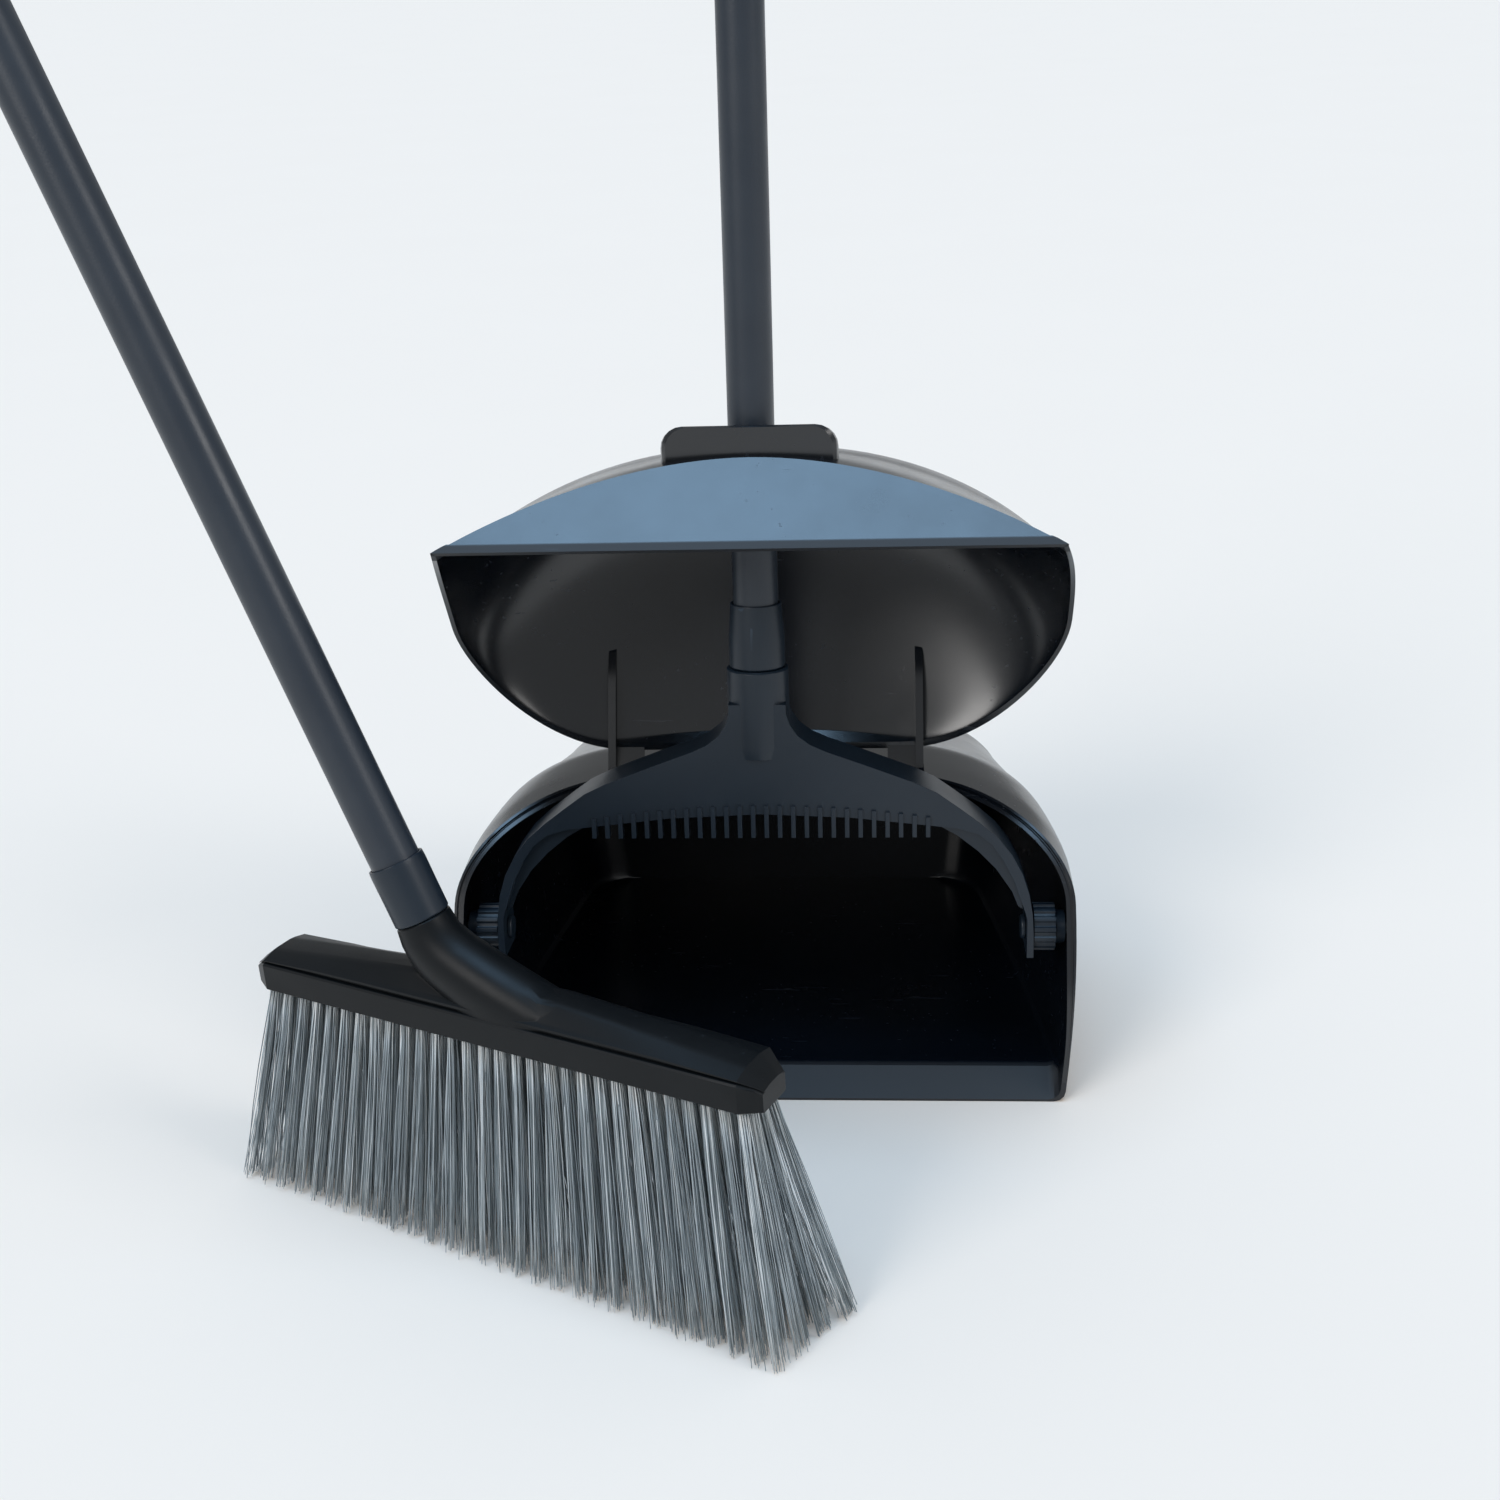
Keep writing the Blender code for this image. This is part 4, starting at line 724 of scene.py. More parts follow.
def ferrule_profile(joint, radius, length, stub_depth):
    """A cup for the tube, on a stub that screws down into a neck. Closed outline, off the axis."""
    bore = 0.0045
    floor = joint + CUP_FLOOR
    top = joint + length
    inner = TUBE_R + GAP
    stub = SOCKET_R - GAP
    return [
        (bore, joint - stub_depth), (stub, joint - stub_depth), (stub, joint + GAP),
        (radius - 0.0005, joint + GAP), (radius, joint + GAP + 0.0008), (radius, joint + 0.45 * length),
        (inner + 0.0013, top - 0.003), (inner + 0.0011, top), (inner, top), (inner, floor), (bore, floor),
    ]


def grip_profile(bottom, top):
    """A soft sleeve with rings round it. Closed outline, off the axis."""
    inner = TUBE_R + GAP
    outline = [(inner, top), (inner, bottom), (GRIP_R - 0.0016, bottom), (GRIP_R, bottom + 0.004)]
    start = bottom + 0.014
    pitch = (top - 0.014 - start) / GRIP_RINGS
    for k in range(GRIP_RINGS):
        low = start + k * pitch
        outline += [
            (GRIP_R, low), (GRIP_R - 0.0011, low + 0.0018),
            (GRIP_R - 0.0011, low + pitch - 0.0045), (GRIP_R, low + pitch - 0.0027),
        ]
    outline += [(GRIP_R, top - 0.004), (GRIP_R - 0.0016, top)]
    return outline


def make_cap(name, tube_top, place, look):
    """End cap: a plug in the tube, and a flattened lug with a hole to hang it by."""
    plug_r = TUBE_R - TUBE_WALL - GAP
    neck = [(plug_r - 0.001, tube_top - 0.022), (plug_r, tube_top - 0.020), (plug_r, tube_top + GAP)]
    neck += [(GRIP_R - 0.001, tube_top + GAP), (GRIP_R, tube_top + 0.002), (GRIP_R, tube_top + 0.007)]
    neck += [(GRIP_R - 0.003, tube_top + 0.012)]
    cap = turned(name, neck, look, place)
    half = GRIP_R - 0.0017
    top = tube_top + CAP_LENGTH - half
    outline = [(-half, tube_top + 0.006), (half, tube_top + 0.006)] + arc((0, top), half, 0, 180, 14)
    unite(cap, prism(name + "_lug", outline, -0.0045, 0.0045, None, place))
    hole = round_at((0, top), HANG_HOLE_R, range(0, 360, 20))
    cut(cap, prism(name + "_hole", hole, -0.02, 0.02, None, place))
    return cap


def make_stick(prefix, joint, radius, length, tube_top, place, looks):
    """Ferrule, tube, grip and hanging cap on one axis. The tube stands in the ferrule's cup."""
    cup = ferrule_profile(joint, radius, length, SOCKET_DEPTH - 0.004)
    sleeve(f"{prefix}_ferrule", cup, looks["yoke_plastic"], place)
    sleeve(f"{prefix}_tube", tube_profile(joint + CUP_FLOOR + GAP, tube_top), looks["tube_paint"], place)
    grip_top = tube_top
    sleeve(f"{prefix}_grip", grip_profile(grip_top - GRIP_LENGTH, grip_top), looks["grip_rubber"], place)
    make_cap(f"{prefix}_hang_cap", tube_top, place, looks["yoke_plastic"])


# ---------------------------------------------------------------- pivots
def ribbed_ring(radius, x, ribs):
    """Ring round the X axis with square ribs."""
    ring = []
    for k in range(ribs):
        for part, reach in ((0.0, radius), (0.38, radius), (0.5, radius - 0.0011), (0.88, radius - 0.0011)):
            turn = 2 * math.pi * (k + part) / ribs
            ring.append(Vector((x, reach * math.cos(turn), reach * math.sin(turn))))
    return ring


def plain_ring(radius, x, count):
    return [Vector((x, a, b)) for a, b in circle(radius, count)]


def wall_at(y, z, inset):
    """Half width of the pan's side wall at a point, its outer face or, with an inset, its inner one."""
    from_lip = y - LIP_Y
    share = max(0.0, 1 - from_lip / (0.6 * PAN_DEPTH))
    section = pan_section(from_lip - mouth_back(z) * share, (inset, inset, inset), FLOOR)
    side = section[3:3 + 4 + SIDE_STEPS + SHOULDER_STEPS]
    for (x0, z0), (x1, z1) in zip(side, side[1:]):
        if z0 <= z <= z1:
            return blend(x0, x1, (z - z0) / max(1e-9, z1 - z0))
    return side[-1][0]


def narrowest_wall(radius):
    """Half width of the pan's inner face where it comes closest to a disc on the pivot axis."""
    spots = round_at((PIVOT.y, PIVOT.z), radius, range(0, 360, 9))
    return min(wall_at(y, z, WALL) for y, z in spots)


def make_pivots(looks):
    """On each side: a ribbed drum and a washer between arm and wall, on a pin set in the wall."""
    wall_face = narrowest_wall(WASHER_R)
    place = Matrix.Translation(PIVOT)
    for side, word in ((-1, "left"), (1, "right")):
        start = side * (ARM_OUT + GAP)
        end = side * (ARM_OUT + GAP + DRUM_LENGTH)
        count = 4 * DRUM_RIBS
        bore = PIN_R + GAP
        rings = [
            plain_ring(bore, start, count), ribbed_ring(DRUM_R, start, DRUM_RIBS),
            ribbed_ring(DRUM_R, end, DRUM_RIBS), plain_ring(bore, end, count),
        ]
        loop_loft(f"pivot_drum_{word}", rings, looks["yoke_plastic"], place)
        washer_start = end + side * GAP
        washer_end = side * (wall_face - GAP)
        rings = [
            plain_ring(bore, washer_start, 28), plain_ring(WASHER_R, washer_start, 28),
            plain_ring(WASHER_R - 0.0006, washer_end, 28), plain_ring(bore, washer_end, 28),
        ]
        loop_loft(f"pivot_washer_{word}", rings, looks["yoke_plastic"], place)
        head_start = side * (ARM_OUT - ARM_PLATE - GAP)
        head_end = head_start - side * 0.0022
        tip = side * (wall_face + WALL)
        rings = [
            plain_ring(PIN_R + 0.0017, head_end, 24), plain_ring(PIN_R + 0.0024, head_end + side * 0.0006, 24),
            plain_ring(PIN_R + 0.0024, head_start, 24), plain_ring(PIN_R, head_start, 24),
            plain_ring(PIN_R, tip, 24),
        ]
        loft(f"pivot_pin_{word}", rings, looks["yoke_plastic"], place)


def make_hinge_pins(looks):
    for side, word in ((-1, "left"), (1, "right")):
        low, high = arm_span(side)
        reach = 0.0045
        pin = along_x(HINGE_PIN_R, low - reach, high + reach, 16, f"lid_pin_{word}", HINGE.y, HINGE.z)
        pin.data.materials.append(looks["pin_steel"])


# ---------------------------------------------------------------- lid
LID_TOP = Vector((0, LIP_Y + LID_RAKE - LID_FORWARD, LID_HEIGHT))
LID_FOOT = Vector((0, LIP_Y - LID_FORWARD, 0.0))
LID_LENGTH = (LID_FOOT - LID_TOP).length
LID_ALONG = (LID_FOOT - LID_TOP).normalized()          # from the hinge edge to the lip, lid shut
LID_OUT = Vector((0, LID_ALONG.z, -LID_ALONG.y))       # away from the pan, lid shut


def lid_open():
    """Swings the shut lid open about its hinge."""
    return Matrix.Translation(HINGE) @ Matrix.Rotation(-LID_SWING, 4, "X") @ Matrix.Translation(-HINGE)


def lid_station(step, inset=0.0):
    """The lid's edge, (half width, distance from the hinge end, depth), from step 0, hinge, to 2, lip."""
    wide = LID_LIP_HALF + LID_BULGE - inset
    if step < 1:
        turn = math.pi / 2 * (1 - step)
        half = LID_SHOULDER_X + (wide - LID_SHOULDER_X) * math.cos(turn)
        z = LID_SHOULDER_Z + (LID_HEIGHT - inset - LID_SHOULDER_Z) * math.sin(turn)
    else:
        z = blend(LID_SHOULDER_Z, inset, step - 1)
        half = LID_LIP_HALF - inset + LID_BULGE * math.sin(math.pi / 2 * z / LID_SHOULDER_Z)
    y = LIP_Y - LID_FORWARD + LID_RAKE * (z / LID_HEIGHT) ** LID_CURVE
    from_top = Vector((0, y, z)) - LID_TOP
    return half, from_top.dot(LID_ALONG), from_top.dot(LID_OUT)


def lid_crown(along):
    """Depth of the lid's middle over its edge."""
    swell = math.sin(math.pi / 2 * min(1.0, along / (0.62 * LID_LENGTH)))
    rise = LID_HINGE_DEPTH + (LID_CROWN - LID_HINGE_DEPTH) * swell
    fall = RIDGE_DEPTH + (LID_LENGTH - along) * LID_FALL
    round_off = 0.016
    gap = (rise - fall) / round_off
    if gap > 4:
        return fall
    if gap < -4:
        return rise
    return min(rise, fall) - round_off * 0.25 * math.exp(-abs(gap))


def lid_arch(across, along):
    """Share of the crown's depth at a share of the half width: a full arch, flatter at the ridge."""
    flat = smooth((along - 0.62 * LID_LENGTH) / (0.38 * LID_LENGTH))
    power = blend(2.4, 1.9, flat)
    root = blend(0.72, 0.97, flat)
    return max(0.0, 1 - abs(across) ** power) ** root


def lid_point(across, step, inset=0.0, most=None):
    """Point on the shut lid, at a share of the half width and a step to the lip, no deeper than most."""
    half, along, edge = lid_station(step, inset)
    depth = max(0.0, lid_crown(along) - inset) * lid_arch(across, along)
    lean = RIDGE_LEAN * smooth((along - 0.8 * LID_LENGTH) / (0.2 * LID_LENGTH))
    if most is not None:
        depth = min(depth, most)
    beside = Vector((half * across, 0, 0)) + LID_TOP
    return beside + LID_ALONG * (along + lean * depth) + LID_OUT * (edge + depth)


def lid_columns():
    """Shares of the half width, closer together towards the edges."""
    half = [math.sin(math.pi / 2 * k / LID_COLUMNS) for k in range(LID_COLUMNS + 1)]
    return [-s for s in reversed(half[1:])] + half


LID_STEPS = [k / 22 for k in range(23)] + [1 + k / 30 for k in range(1, 31)]


def lid_shell_mesh(looks, place):
    """Outer skin, end wall and lip bar, then the same inwards, joined round the edge."""
    columns = lid_columns()
    proud = LID_ALONG * LIP_BAR_PROUD
    out_rows = [[lid_point(c, 0.0, 0.0, 0.0) for c in columns]]
    out_rows += [[lid_point(c, step) for c in columns] for step in LID_STEPS]
    out_rows.append([lid_point(c, 2.0, 0.0, LIP_BAR + 0.0002) for c in columns])
    out_rows.append([lid_point(c, 2.0, 0.0, LIP_BAR) + proud for c in columns])
    out_rows.append([lid_point(c, 2.0, 0.0, 0.0) + proud for c in columns])
    in_rows = [[lid_point(c, 0.0, LID_WALL, 0.0) for c in columns]]
    in_rows += [[lid_point(c, step, LID_WALL) for c in columns] for step in LID_STEPS]
    in_rows.append([lid_point(c, 2.0, LID_WALL, 0.0) for c in columns])
    rows = out_rows + list(reversed(in_rows))
    width = len(columns)
    points = [p for row in rows for p in row]
    faces = []
    for r in range(len(rows)):
        after = (r + 1) % len(rows)
        for i in range(width - 1):
            faces.append((r * width + i, r * width + i + 1, after * width + i + 1, after * width + i))
    outs, ins = len(out_rows), len(in_rows)
    for i in (0, width - 1):
        near = [r * width + i for r in range(outs)]
        far = [(outs + ins - 1 - r) * width + i for r in range(ins)]
        faces += side_strip(near, far)
    return add_lid(points, faces, looks, place)


def side_strip(near, far):
    """Faces between two runs of points that start and end side by side."""
    faces = []
    i = j = 0
    while i < len(near) - 1 or j < len(far) - 1:
        if j == len(far) - 1 or (i < len(near) - 1 and i * len(far) <= j * len(near)):
            faces.append((near[i], near[i + 1], far[j]))
            i += 1
        else:
            faces.append((near[i], far[j + 1], far[j]))
            j += 1
    return faces


def add_lid(points, faces, looks, place):
    mesh = bpy.data.meshes.new("lid_shell")
    bm = bmesh.new()
    corners = [bm.verts.new(p) for p in points]
    for face in faces:
        bm.faces.new([corners[i] for i in face])
    bmesh.ops.remove_doubles(bm, verts=bm.verts, dist=1e-6)
    bmesh.ops.dissolve_degenerate(bm, edges=bm.edges, dist=1e-6)
    bmesh.ops.recalc_face_normals(bm, faces=bm.faces)
    bm.to_mesh(mesh)
    bm.free()
    mesh.shade_smooth()
    mesh.set_sharp_from_angle(angle=FOLD(32))
    made = bpy.data.objects.new("lid_shell", mesh)
    bpy.context.scene.collection.objects.link(made)
    made.data.materials.append(looks["pan_plastic"])
    made.matrix_world = place
    return made


def collar_directions():
    """In the shut lid: down the collar's sloping top, out of it, up its front, and up the slot's walls."""
    back = Matrix.Rotation(LID_SWING, 3, "X")
    down = back @ Vector((0, math.cos(COLLAR_FALL), -math.sin(COLLAR_FALL)))
    up = back @ Vector((0, math.sin(COLLAR_FALL), math.cos(COLLAR_FALL)))
    front = back @ Vector((0, 0, 1))
    walls = back @ Vector((0, math.sin(SLOT_LEAN), math.cos(SLOT_LEAN)))
    return down, up, front, walls


def make_lid(looks):
    place = lid_open()
    lid = lid_shell_mesh(looks, place)
    ridge = lid_point(0.0, 2.0)
    down, up, front, walls = collar_directions()
    front_top = ridge + up * COLLAR_RISE + down * -0.0056
    # collar: a block with rounded upper corners, sunk into the lid's skin
    half, radius = COLLAR_HALF, COLLAR_ROUND
    section = [(half, -0.055), (half, -radius)]
    section += round_at((half - radius, -radius), radius, range(18, 91, 18))
    section = section + [(-x, z) for x, z in reversed(section)]
    rings = []
    for distance, shrink in ((0.0, 0.0025), (0.002, 0.0008), (0.005, 0.0), (COLLAR_LENGTH, 0.0)):
        rings.append([
            front_top + down * distance + front * (z - shrink) + Vector((x * (1 - shrink / half), 0, 0))
            for x, z in section
        ])
    collar = loft("lid_collar", rings, None, place)
    inside = lid_inside(place)
    cut(collar, inside)
    unite(lid, collar)
    slot_rings = []
    for z in (0.06, -0.09):
        outline = []
        corner = 0.010
        for cx, cy, start in (
            (SLOT_HALF - corner, SLOT_END - corner, 0), (-SLOT_HALF + corner, SLOT_END - corner, 90),
            (-SLOT_HALF + corner, SLOT_START + corner, 180), (SLOT_HALF - corner, SLOT_START + corner, 270),
        ):
            outline += round_at((cx, cy), corner, range(start, start + 91, 30))
        slot_rings.append([front_top + down * b + walls * z + Vector((a, 0, 0)) for a, b in outline])
    add_lid_arms(lid, place)
    cut(lid, loft("lid_slot", slot_rings, None, place))
    return lid


def lid_inside(place):
    """The lid's hollow as a solid, which keeps the collar from filling it."""
    columns = lid_columns()
    rows = [[lid_point(c, step, LID_WALL * 0.5) for c in columns] for step in LID_STEPS]
    base = LID_OUT * -0.03
    rings = [row + [row[-1] + base, row[0] + base] for row in rows]
    return loft("lid_hollow", rings, None, place)


def lid_skin_at(x, step, inset):
    """Point on the lid's skin at a distance from its middle plane, with x left at 0."""
    point = lid_point(x / lid_station(step, inset)[0], step, inset)
    point.x = 0
    return point


def add_lid_arms(lid, place):
    """Each arm: a hinge barrel, a flat tongue to the lid's hinge edge, and a deep rib up its inside."""
    for side in (-1, 1):
        low, high = arm_span(side)
        barrel = along_x(BARREL_R, low, high, 20, f"arm_barrel_{side}", HINGE.y, HINGE.z)
        barrel.matrix_world = place
        rib_low = side * ARM_RIB_X - ARM_RIB_WIDTH / 2
        rib_high = side * ARM_RIB_X + ARM_RIB_WIDTH / 2
        skin = [lid_skin_at(ARM_RIB_X, step, LID_WALL * 0.5) for step in (0.24, 0.34, 0.44, 0.53)]
        taper = ((0.53, 0.0035), (0.50, 0.0075), (0.44, 0.011))
        inner = [lid_skin_at(ARM_RIB_X, step, LID_WALL * 0.5) - LID_OUT * deep for step, deep in taper]
        profile = [Vector((0, p.y, p.z)) for p in skin + inner]
        root = ((-0.0035, -0.0020), (0.0015, -0.0038), (0.0030, 0.0030))
        profile += [HINGE + Vector((0, y, z)) for y, z in root]
        rings = [[Vector((x, p.y, p.z)) for p in profile] for x in (rib_low, rib_high)]
        rib = loft(f"arm_rib_{side}", rings, None, place)
        tongue_low, tongue_high = (low, rib_high) if side > 0 else (rib_low, high)
        edge_in = lid_point(0.75, 0.0, LID_WALL * 0.5, 0.0)
        edge_in.x = 0
        tongue_profile = [
            HINGE + Vector((0, 0.0005, 0.0036)), HINGE + Vector((0, -0.0036, 0.0005)),
            edge_in + LID_OUT * 0.0004, edge_in + LID_OUT * 0.0034,
        ]
        rings = [[Vector((x, p.y, p.z)) for p in tongue_profile] for x in (tongue_low, tongue_high)]
        tongue = loft(f"arm_tongue_{side}", rings, None, place)
        for piece in (barrel, tongue, rib):
            unite(lid, piece)
        ends = low - 0.004, high + 0.004
        bore = along_x(HINGE_PIN_R + GAP, *ends, 16, f"arm_pin_bore_{side}", HINGE.y, HINGE.z)
        bore.matrix_world = place
        cut(lid, bore)


# ---------------------------------------------------------------- broom
def broom_place():
    """Frame on the head's underside: x along the head, z out of its back, on the standing broom."""
    return (
        Matrix.Translation((BROOM_AT[0], BROOM_AT[1], 0))
        @ Matrix.Rotation(-BROOM_YAW, 4, "Z")
        @ Matrix.Rotation(-BROOM_LEAN, 4, "X")
        @ Matrix.Translation((0, 0, BROOM_HEAD_UP))
        @ Matrix.Rotation(-BROOM_TILT, 4, "Y")
    )


def stick_place():
    """Frame on the broom stick's axis: z up the stick."""
    return (
        broom_place()
        @ Matrix.Translation((STICK_FOOT, 0, STICK_FOOT_UP))
        @ Matrix.Rotation(-STICK_ANGLE, 4, "Y")
    )


def head_top(x):
    """Height of the head's back over its underside."""
    neck_left, neck_right = NECK_SPAN
    if x < neck_left:
        share = (x + HEAD_LENGTH / 2) / (neck_left + HEAD_LENGTH / 2)
    elif x > neck_right:
        share = (HEAD_LENGTH / 2 - x) / (HEAD_LENGTH / 2 - neck_right)
    else:
        share = 1.0
    return blend(HEAD_END_TOP, HEAD_MID_TOP, max(0.0, share) ** 0.85)


def head_section(x):
    """(y, z) round the head: flat band, groove, bead, then the tapered back. It shrinks at the very ends."""
    from_end = HEAD_LENGTH / 2 - abs(x)
    half = HEAD_DEPTH / 2 - max(0.0, HEAD_END_CHAMFER - from_end) * 0.62
    top = head_top(x)
    shrink = 1 - 0.36 * max(0.0, 1 - from_end / (0.8 * HEAD_END_CHAMFER))
    step = min(1.0, (top - HEAD_BAND) / 0.0075)
    right = [
        (half - 0.0008, 0.0), (half, 0.0008), (half, HEAD_BAND - 0.0010), (half - 0.0007, HEAD_BAND - 0.0002),
        (half - 0.0024, HEAD_BAND + 0.0002 * step), (half - 0.0024, HEAD_BAND + 0.0010 * step),
        (half - 0.0010, HEAD_BAND + 0.0018 * step), (half - 0.0010, HEAD_BAND + 0.0030 * step),
        (half - 0.0034, HEAD_BAND + 0.0044 * step),
        (half * 0.50, blend(HEAD_BAND, top, 0.88)), (half * 0.30, top),
    ]
    outline = right + [(-y, z) for y, z in reversed(right)]
    return [(y, z * shrink) for y, z in outline]


def make_broom_head(looks):
    place = broom_place()
    end = HEAD_LENGTH / 2
    inner_end = end - HEAD_END_CHAMFER
    stations = [-end, -end + 0.0025, -inner_end, -0.75 * inner_end, -0.55 * inner_end]
    stations += [NECK_SPAN[0], 0.0, NECK_SPAN[1]]
    stations += [0.50 * inner_end, 0.70 * inner_end, 0.85 * inner_end, inner_end, end - 0.0025, end]
    rings = [[Vector((x, y, z)) for y, z in head_section(x)] for x in stations]
    head = loft("broom_head", rings, looks["head_plastic"], place)
    unite(head, broom_neck(place))
    stick = stick_place()
    socket = [(SOCKET_R, BROOM_NECK_TOP - SOCKET_DEPTH), (SOCKET_R, BROOM_NECK_TOP + 0.01)]
    cut(head, turned("broom_socket", socket, None, stick))
    return head


def broom_neck(place):
    """Socket that leans with the stick and spreads into the head's back, more on its right."""
    steps = (
        # height over the head, left and right ends along it, half depth, share of the stick's tilt
        (0.0060, NECK_SPAN[0] + 0.006, NECK_SPAN[1] + 0.018, 0.0146, 0.0),
        (0.0150, NECK_SPAN[0] + 0.004, NECK_SPAN[1] + 0.016, 0.0146, 0.0),
        (0.0205, NECK_SPAN[0] + 0.002, NECK_SPAN[1] + 0.005, 0.0144, 0.0),
        (0.0262, NECK_SPAN[0] - 0.001, NECK_SPAN[1] - 0.017, 0.0141, 0.20),
        (0.0312, NECK_SPAN[0] - 0.003, NECK_SPAN[1] - 0.034, 0.0137, 0.45),
        (0.0362, NECK_SPAN[0] - 0.005, NECK_SPAN[1] - 0.0475, 0.0132, 0.72),
        (0.0412, NECK_SPAN[0] - 0.007, NECK_SPAN[1] - 0.0565, 0.0127, 0.95),
    )
    sides = 32
    rings = []
    for height, low, high, deep, lean in steps:
        tilt = STICK_ANGLE * lean
        centre, long = (low + high) / 2, (high - low) / 2
        ring = []
        for k in range(sides):
            turn = 2 * math.pi * k / sides
            a = long * math.cos(turn)
            side_y = deep * math.sin(turn)
            ring.append(Vector((centre + a * math.cos(tilt), side_y, height + a * math.sin(tilt))))
        rings.append(ring)
    top = Matrix.Translation((STICK_FOOT, 0, STICK_FOOT_UP)) @ Matrix.Rotation(-STICK_ANGLE, 4, "Y")
    for along, radius in ((BROOM_NECK_TOP - 0.0006, BROOM_NECK_R), (BROOM_NECK_TOP, BROOM_NECK_R - 0.0006)):
        rings.append([top @ Vector((a, b, along)) for a, b in circle(radius, sides)])
    return loft("broom_neck", rings, None, place)


def tuft_end(x, y, place, inverse):
    """The point under (x, y), in the head's frame, just over the floor."""
    over_floor = 0.0003
    top = place @ Vector((x, y, 0))
    down = place.to_3x3() @ Vector((0, 0, -1))
    reach = (top.z - over_floor) / -down.z
    return inverse @ (top + down * reach)


# ---------------------------------------------------------------- finishing touches on the solids
def settle(piece, edge=0.0, corner=40):
    """Applies the piece's cuts and softens its sharp edges."""
    if edge:
        soften = piece.modifiers.new("soft_edges", "BEVEL")
        soften.width = edge
        soften.segments = 2
        soften.limit_method = "ANGLE"
        soften.angle_limit = FOLD(corner)
        soften.use_clamp_overlap = True
    bpy.context.view_layer.update()
    graph = bpy.context.evaluated_depsgraph_get()
    mesh = bpy.data.meshes.new_from_object(piece.evaluated_get(graph))
    tools = {step.object for step in piece.modifiers if step.type == "BOOLEAN"}
    piece.modifiers.clear()
    piece.data = mesh
    mesh.shade_smooth()
    mesh.set_sharp_from_angle(angle=FOLD(28))
    for tool in tools:
        bpy.data.objects.remove(tool, do_unlink=True)
    even = piece.modifiers.new("even_normals", "WEIGHTED_NORMAL")
    even.keep_sharp = True
    return piece


def stand_for(piece, node, body):
    """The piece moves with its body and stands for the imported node."""
    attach(piece, body)
    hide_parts(node)
    return piece


# ---------------------------------------------------------------- bristles
STRANDS = 42    # in a tuft
STRAND_R = (0.00022, 0.00030)
STRAND_SHADES = ((0.30, 0.34, 0.07), (0.84, 0.58, 0.07), (1.0, 0.82, 0.06))    # share up to, tint, spread


def strand(points, faces, tints, path, radius, tint, root_highlight_tint, sides=4):
    """Adds a thin tapering strand along a path to the lists. Its root end is painted paler, a painted
    highlight.
    """
    start = len(points)
    for step, spot in enumerate(path):
        share = step / (len(path) - 1)
        reach = radius * (1 - 0.35 * share)
        for k in range(sides):
            turn = 2 * math.pi * (k + 0.5) / sides
            points.append(spot + Vector((reach * math.cos(turn), reach * math.sin(turn), 0)))
            # painted highlight: the tint runs from a paler value at the root to the strand's own tint
            tints.append(blend(root_highlight_tint, tint, smooth(share * 7)))
    for step in range(len(path) - 1):
        for k in range(sides):
            after = (k + 1) % sides
            a = start + step * sides
            b = a + sides
            faces.append((a + k, a + after, b + after, b + k))
    faces.append(tuple(start + k for k in reversed(range(sides))))
    last = start + (len(path) - 1) * sides
    faces.append(tuple(last + k for k in range(sides)))


def make_strands(looks):
    """Tufts of strands in rows. Each strand leans and bends a little, and the tips are cut roughly level."""
    place = broom_place()
    inverse = place.inverted()
    dice = random.Random(11)
    half = HEAD_LENGTH / 2 - 0.0055
    left_tip, right_tip = -HEAD_LENGTH / 2 - BRISTLE_FLARE[0], HEAD_LENGTH / 2 + BRISTLE_FLARE[1]
    for row in range(TUFT_ROWS):
        points, faces, tints = [], [], []
        y_row = (row - (TUFT_ROWS - 1) / 2) * ROW_SPACING
        # the front rows stop short of the right end, as the head's end is cut across
        last_tip = right_tip - 0.0035 * (TUFT_ROWS - 1 - row)
        for tuft in range(TUFTS):
            share = (tuft + 0.5) / TUFTS
            x_tuft = blend(-half, half, share)
            lean = dice.uniform(-0.0012, 0.0012)
            tone = dice.gauss(0, 0.03)
            for _ in range(STRANDS):
                turn = dice.uniform(0, 2 * math.pi)
                out = math.sqrt(dice.random())
                x_root = x_tuft + 0.0023 * out * math.cos(turn)
                y_root = y_row + 0.0023 * out * math.sin(turn)
                along = (x_root + half) / (2 * half)
                x_tip = blend(left_tip, last_tip, along) + lean + dice.gauss(0, 0.0014)
                y_tip = y_root * ROW_SPREAD * 1.04 + 0.0010 * math.sin(turn) + dice.gauss(0, 0.0012)
                x_tip = min(max(x_tip, left_tip - 0.003), last_tip + 0.003)
                bow_x, bow_y = dice.gauss(0, 0.0007), dice.gauss(0, 0.0007)
                tip = tuft_end(x_tip, y_tip, place, inverse)
                tip.z += abs(dice.gauss(0, 0.0016)) + (0.004 * dice.random() if dice.random() < 0.08 else 0)
                path = []
                for step in range(6):
                    t = step / 5
                    bow = math.sin(math.pi * t)
                    path.append(Vector((
                        blend(x_root, x_tip, t ** 1.06) + bow * bow_x,
                        blend(y_root, y_tip, t ** 1.06) + bow * bow_y,
                        blend(0.0006, tip.z, t),
                    )))
                kind = dice.random()
                shade = next(shade for most, *shade in STRAND_SHADES if kind < most)
                tint = dice.gauss(*shade) + tone
                # the root tint is 0.25 paler than the strand: a painted highlight at the bristle roots
                strand(points, faces, tints, path, dice.uniform(*STRAND_R), tint, tint + 0.25)
        mesh = bpy.data.meshes.new(f"strands_{row + 1}")
        mesh.from_pydata([place @ spot for spot in points], [], faces)
        tint_layer = mesh.attributes.new("tint", "FLOAT", "POINT")
        tint_layer.data.foreach_set("value", [min(1.0, max(0.0, t)) for t in tints])
        mesh.shade_smooth()
        strands = bpy.data.objects.new(f"strands_{row + 1}", mesh)
        bpy.context.scene.collection.objects.link(strands)
        strands.data.materials.append(looks["bristle"])
        stand_for(strands, f"bristle_row_{row + 1}", "broom")


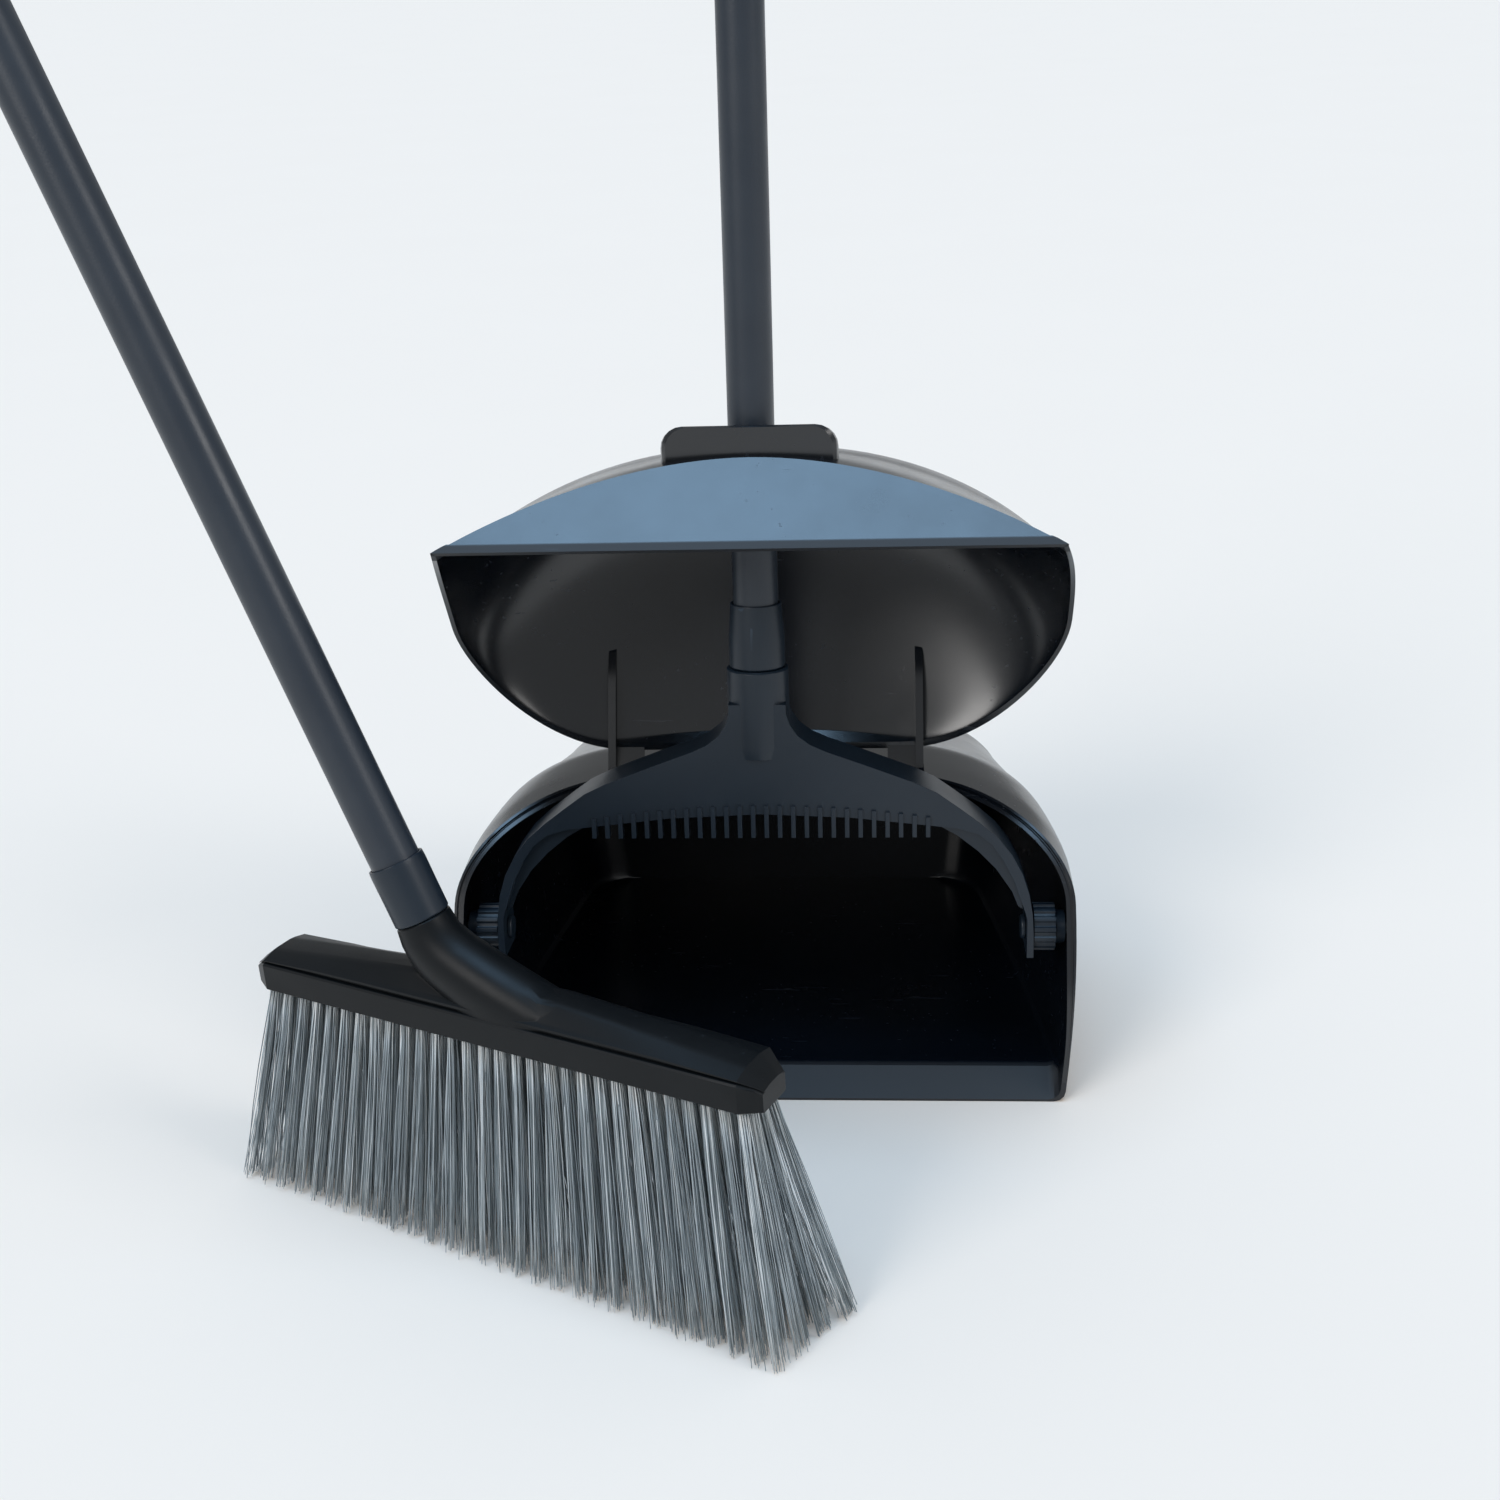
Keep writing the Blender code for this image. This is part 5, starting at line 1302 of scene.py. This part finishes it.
# ---------------------------------------------------------------- light, floor and camera
FLOOR_UP = -0.0002    # the floor lies this little under the set


def soft_sun(name, from_direction, strength, spread, colour=(1, 1, 1)):
    lamp = bpy.data.lights.new(name, "SUN")
    lamp.energy = strength
    lamp.angle = FOLD(spread)
    lamp.color = colour
    made = bpy.data.objects.new(name, lamp)
    bpy.context.scene.collection.objects.link(made)
    made.rotation_euler = (-Vector(from_direction)).to_track_quat("-Z", "Y").to_euler()


def make_stage():
    world = bpy.data.worlds.new("studio")
    bpy.context.scene.world = world
    world.use_nodes = True
    world.node_tree.nodes["Background"].inputs["Color"].default_value = (0.95, 0.98, 1.0, 1)
    world.node_tree.nodes["Background"].inputs["Strength"].default_value = 0.42
    floor_mesh = bpy.data.meshes.new("floor")
    reach = 60.0
    corners = ((-reach, -reach), (reach, -reach), (reach, reach), (-reach, reach))
    floor_mesh.from_pydata([(x, y, FLOOR_UP) for x, y in corners], [], [(0, 1, 2, 3)])
    floor = bpy.data.objects.new("floor", floor_mesh)
    bpy.context.scene.collection.objects.link(floor)
    n = Nodes("floor_paper")
    n.join(n.mix(n.noise(3.0), (0.97, 0.865, 0.770), (0.985, 0.88, 0.785)), n.shader.inputs["Base Color"])
    n.shader.inputs["Roughness"].default_value = 0.9
    n.shader.inputs["Specular IOR Level"].default_value = 0.1
    floor.data.materials.append(n.material)
    soft_sun("overhead", (-0.07, -0.05, 1.0), 1.55, 33, (0.40, 0.68, 1.0))
    soft_sun("front_left", (-0.75, -0.85, 0.75), 1.05, 28, (1.0, 0.98, 0.96))
    soft_sun("right", (0.9, -0.35, 0.6), 0.60, 24, (1.0, 0.98, 0.96))
    bpy.context.scene.view_settings.view_transform = "Standard"


def make_camera():
    """Stands in front, above the pan, turned slightly to the left and rolled a little."""
    tilt, turn, roll = 0.4285, 0.0761, -0.0388
    forward = Vector((-math.sin(turn) * math.cos(tilt), math.cos(turn) * math.cos(tilt), -math.sin(tilt)))
    right = Vector((math.cos(turn), math.sin(turn), 0))
    up = right.cross(forward)
    right_r = math.cos(roll) * right + math.sin(roll) * up
    up_r = -math.sin(roll) * right + math.cos(roll) * up
    data = bpy.data.cameras.new("camera")
    data.lens = 43.2
    data.sensor_width = 36
    camera = bpy.data.objects.new("camera", data)
    bpy.context.scene.collection.objects.link(camera)
    back = -forward
    camera.matrix_world = Matrix((
        (right_r.x, up_r.x, back.x, 0.0573),
        (right_r.y, up_r.y, back.y, LIP_Y - 0.7632),
        (right_r.z, up_r.z, back.z, 0.5470),
        (0, 0, 0, 1),
    ))
    bpy.context.scene.camera = camera


# ---------------------------------------------------------------- the set
def main():
    looks = make_materials()
    made = lambda name: bpy.data.objects[name]
    packed = dict(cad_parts)
    for name, node in packed.items():
        node.name = "packed_" + name
    make_pan_shell(looks)
    stand_for(settle(made("pan_shell"), 0.00035), "pan_shell", "pan")
    make_pivots(looks)
    for word in ("left", "right"):
        for piece, edge in (("pivot_drum_", 0.0003), ("pivot_washer_", 0.0003), ("pivot_pin_", 0.0003)):
            stand_for(settle(made(piece + word), edge), piece + word, "pan")
    make_hinge_pins(looks)
    for word in ("left", "right"):
        stand_for(settle(made("lid_pin_" + word), 0.0002), "lid_pin_" + word, "pan")
    make_yoke(looks)
    stand_for(settle(made("yoke"), 0.0005), "yoke", "handle")
    make_lid(looks)
    stand_for(settle(made("lid_shell"), 0.0004), "lid_shell", "lid")
    make_broom_head(looks)
    stand_for(settle(made("broom_head"), 0.0008), "broom_head", "broom")
    make_stick("pan", NECK_TOP, FERRULE_R, FERRULE_LENGTH, PAN_TUBE_TOP, handle_place(), looks)
    broom_joint = BROOM_NECK_TOP, BROOM_FERRULE_R, BROOM_FERRULE_LENGTH
    make_stick("broom", *broom_joint, BROOM_TUBE_TOP, stick_place(), looks)
    for prefix, body in (("pan", "handle"), ("broom", "broom")):
        for piece, edge, slot in (
            ("ferrule", 0.0003, "yoke_plastic"), ("tube", 0.0002, "tube_paint"),
            ("grip", 0.0004, "grip_rubber"), ("hang_cap", 0.0006, "yoke_plastic"),
        ):
            stand_for(settle(made(f"{prefix}_{piece}"), edge), f"{prefix}_{piece}", body)
    make_strands(looks)
    make_stage()
    make_camera()


main()
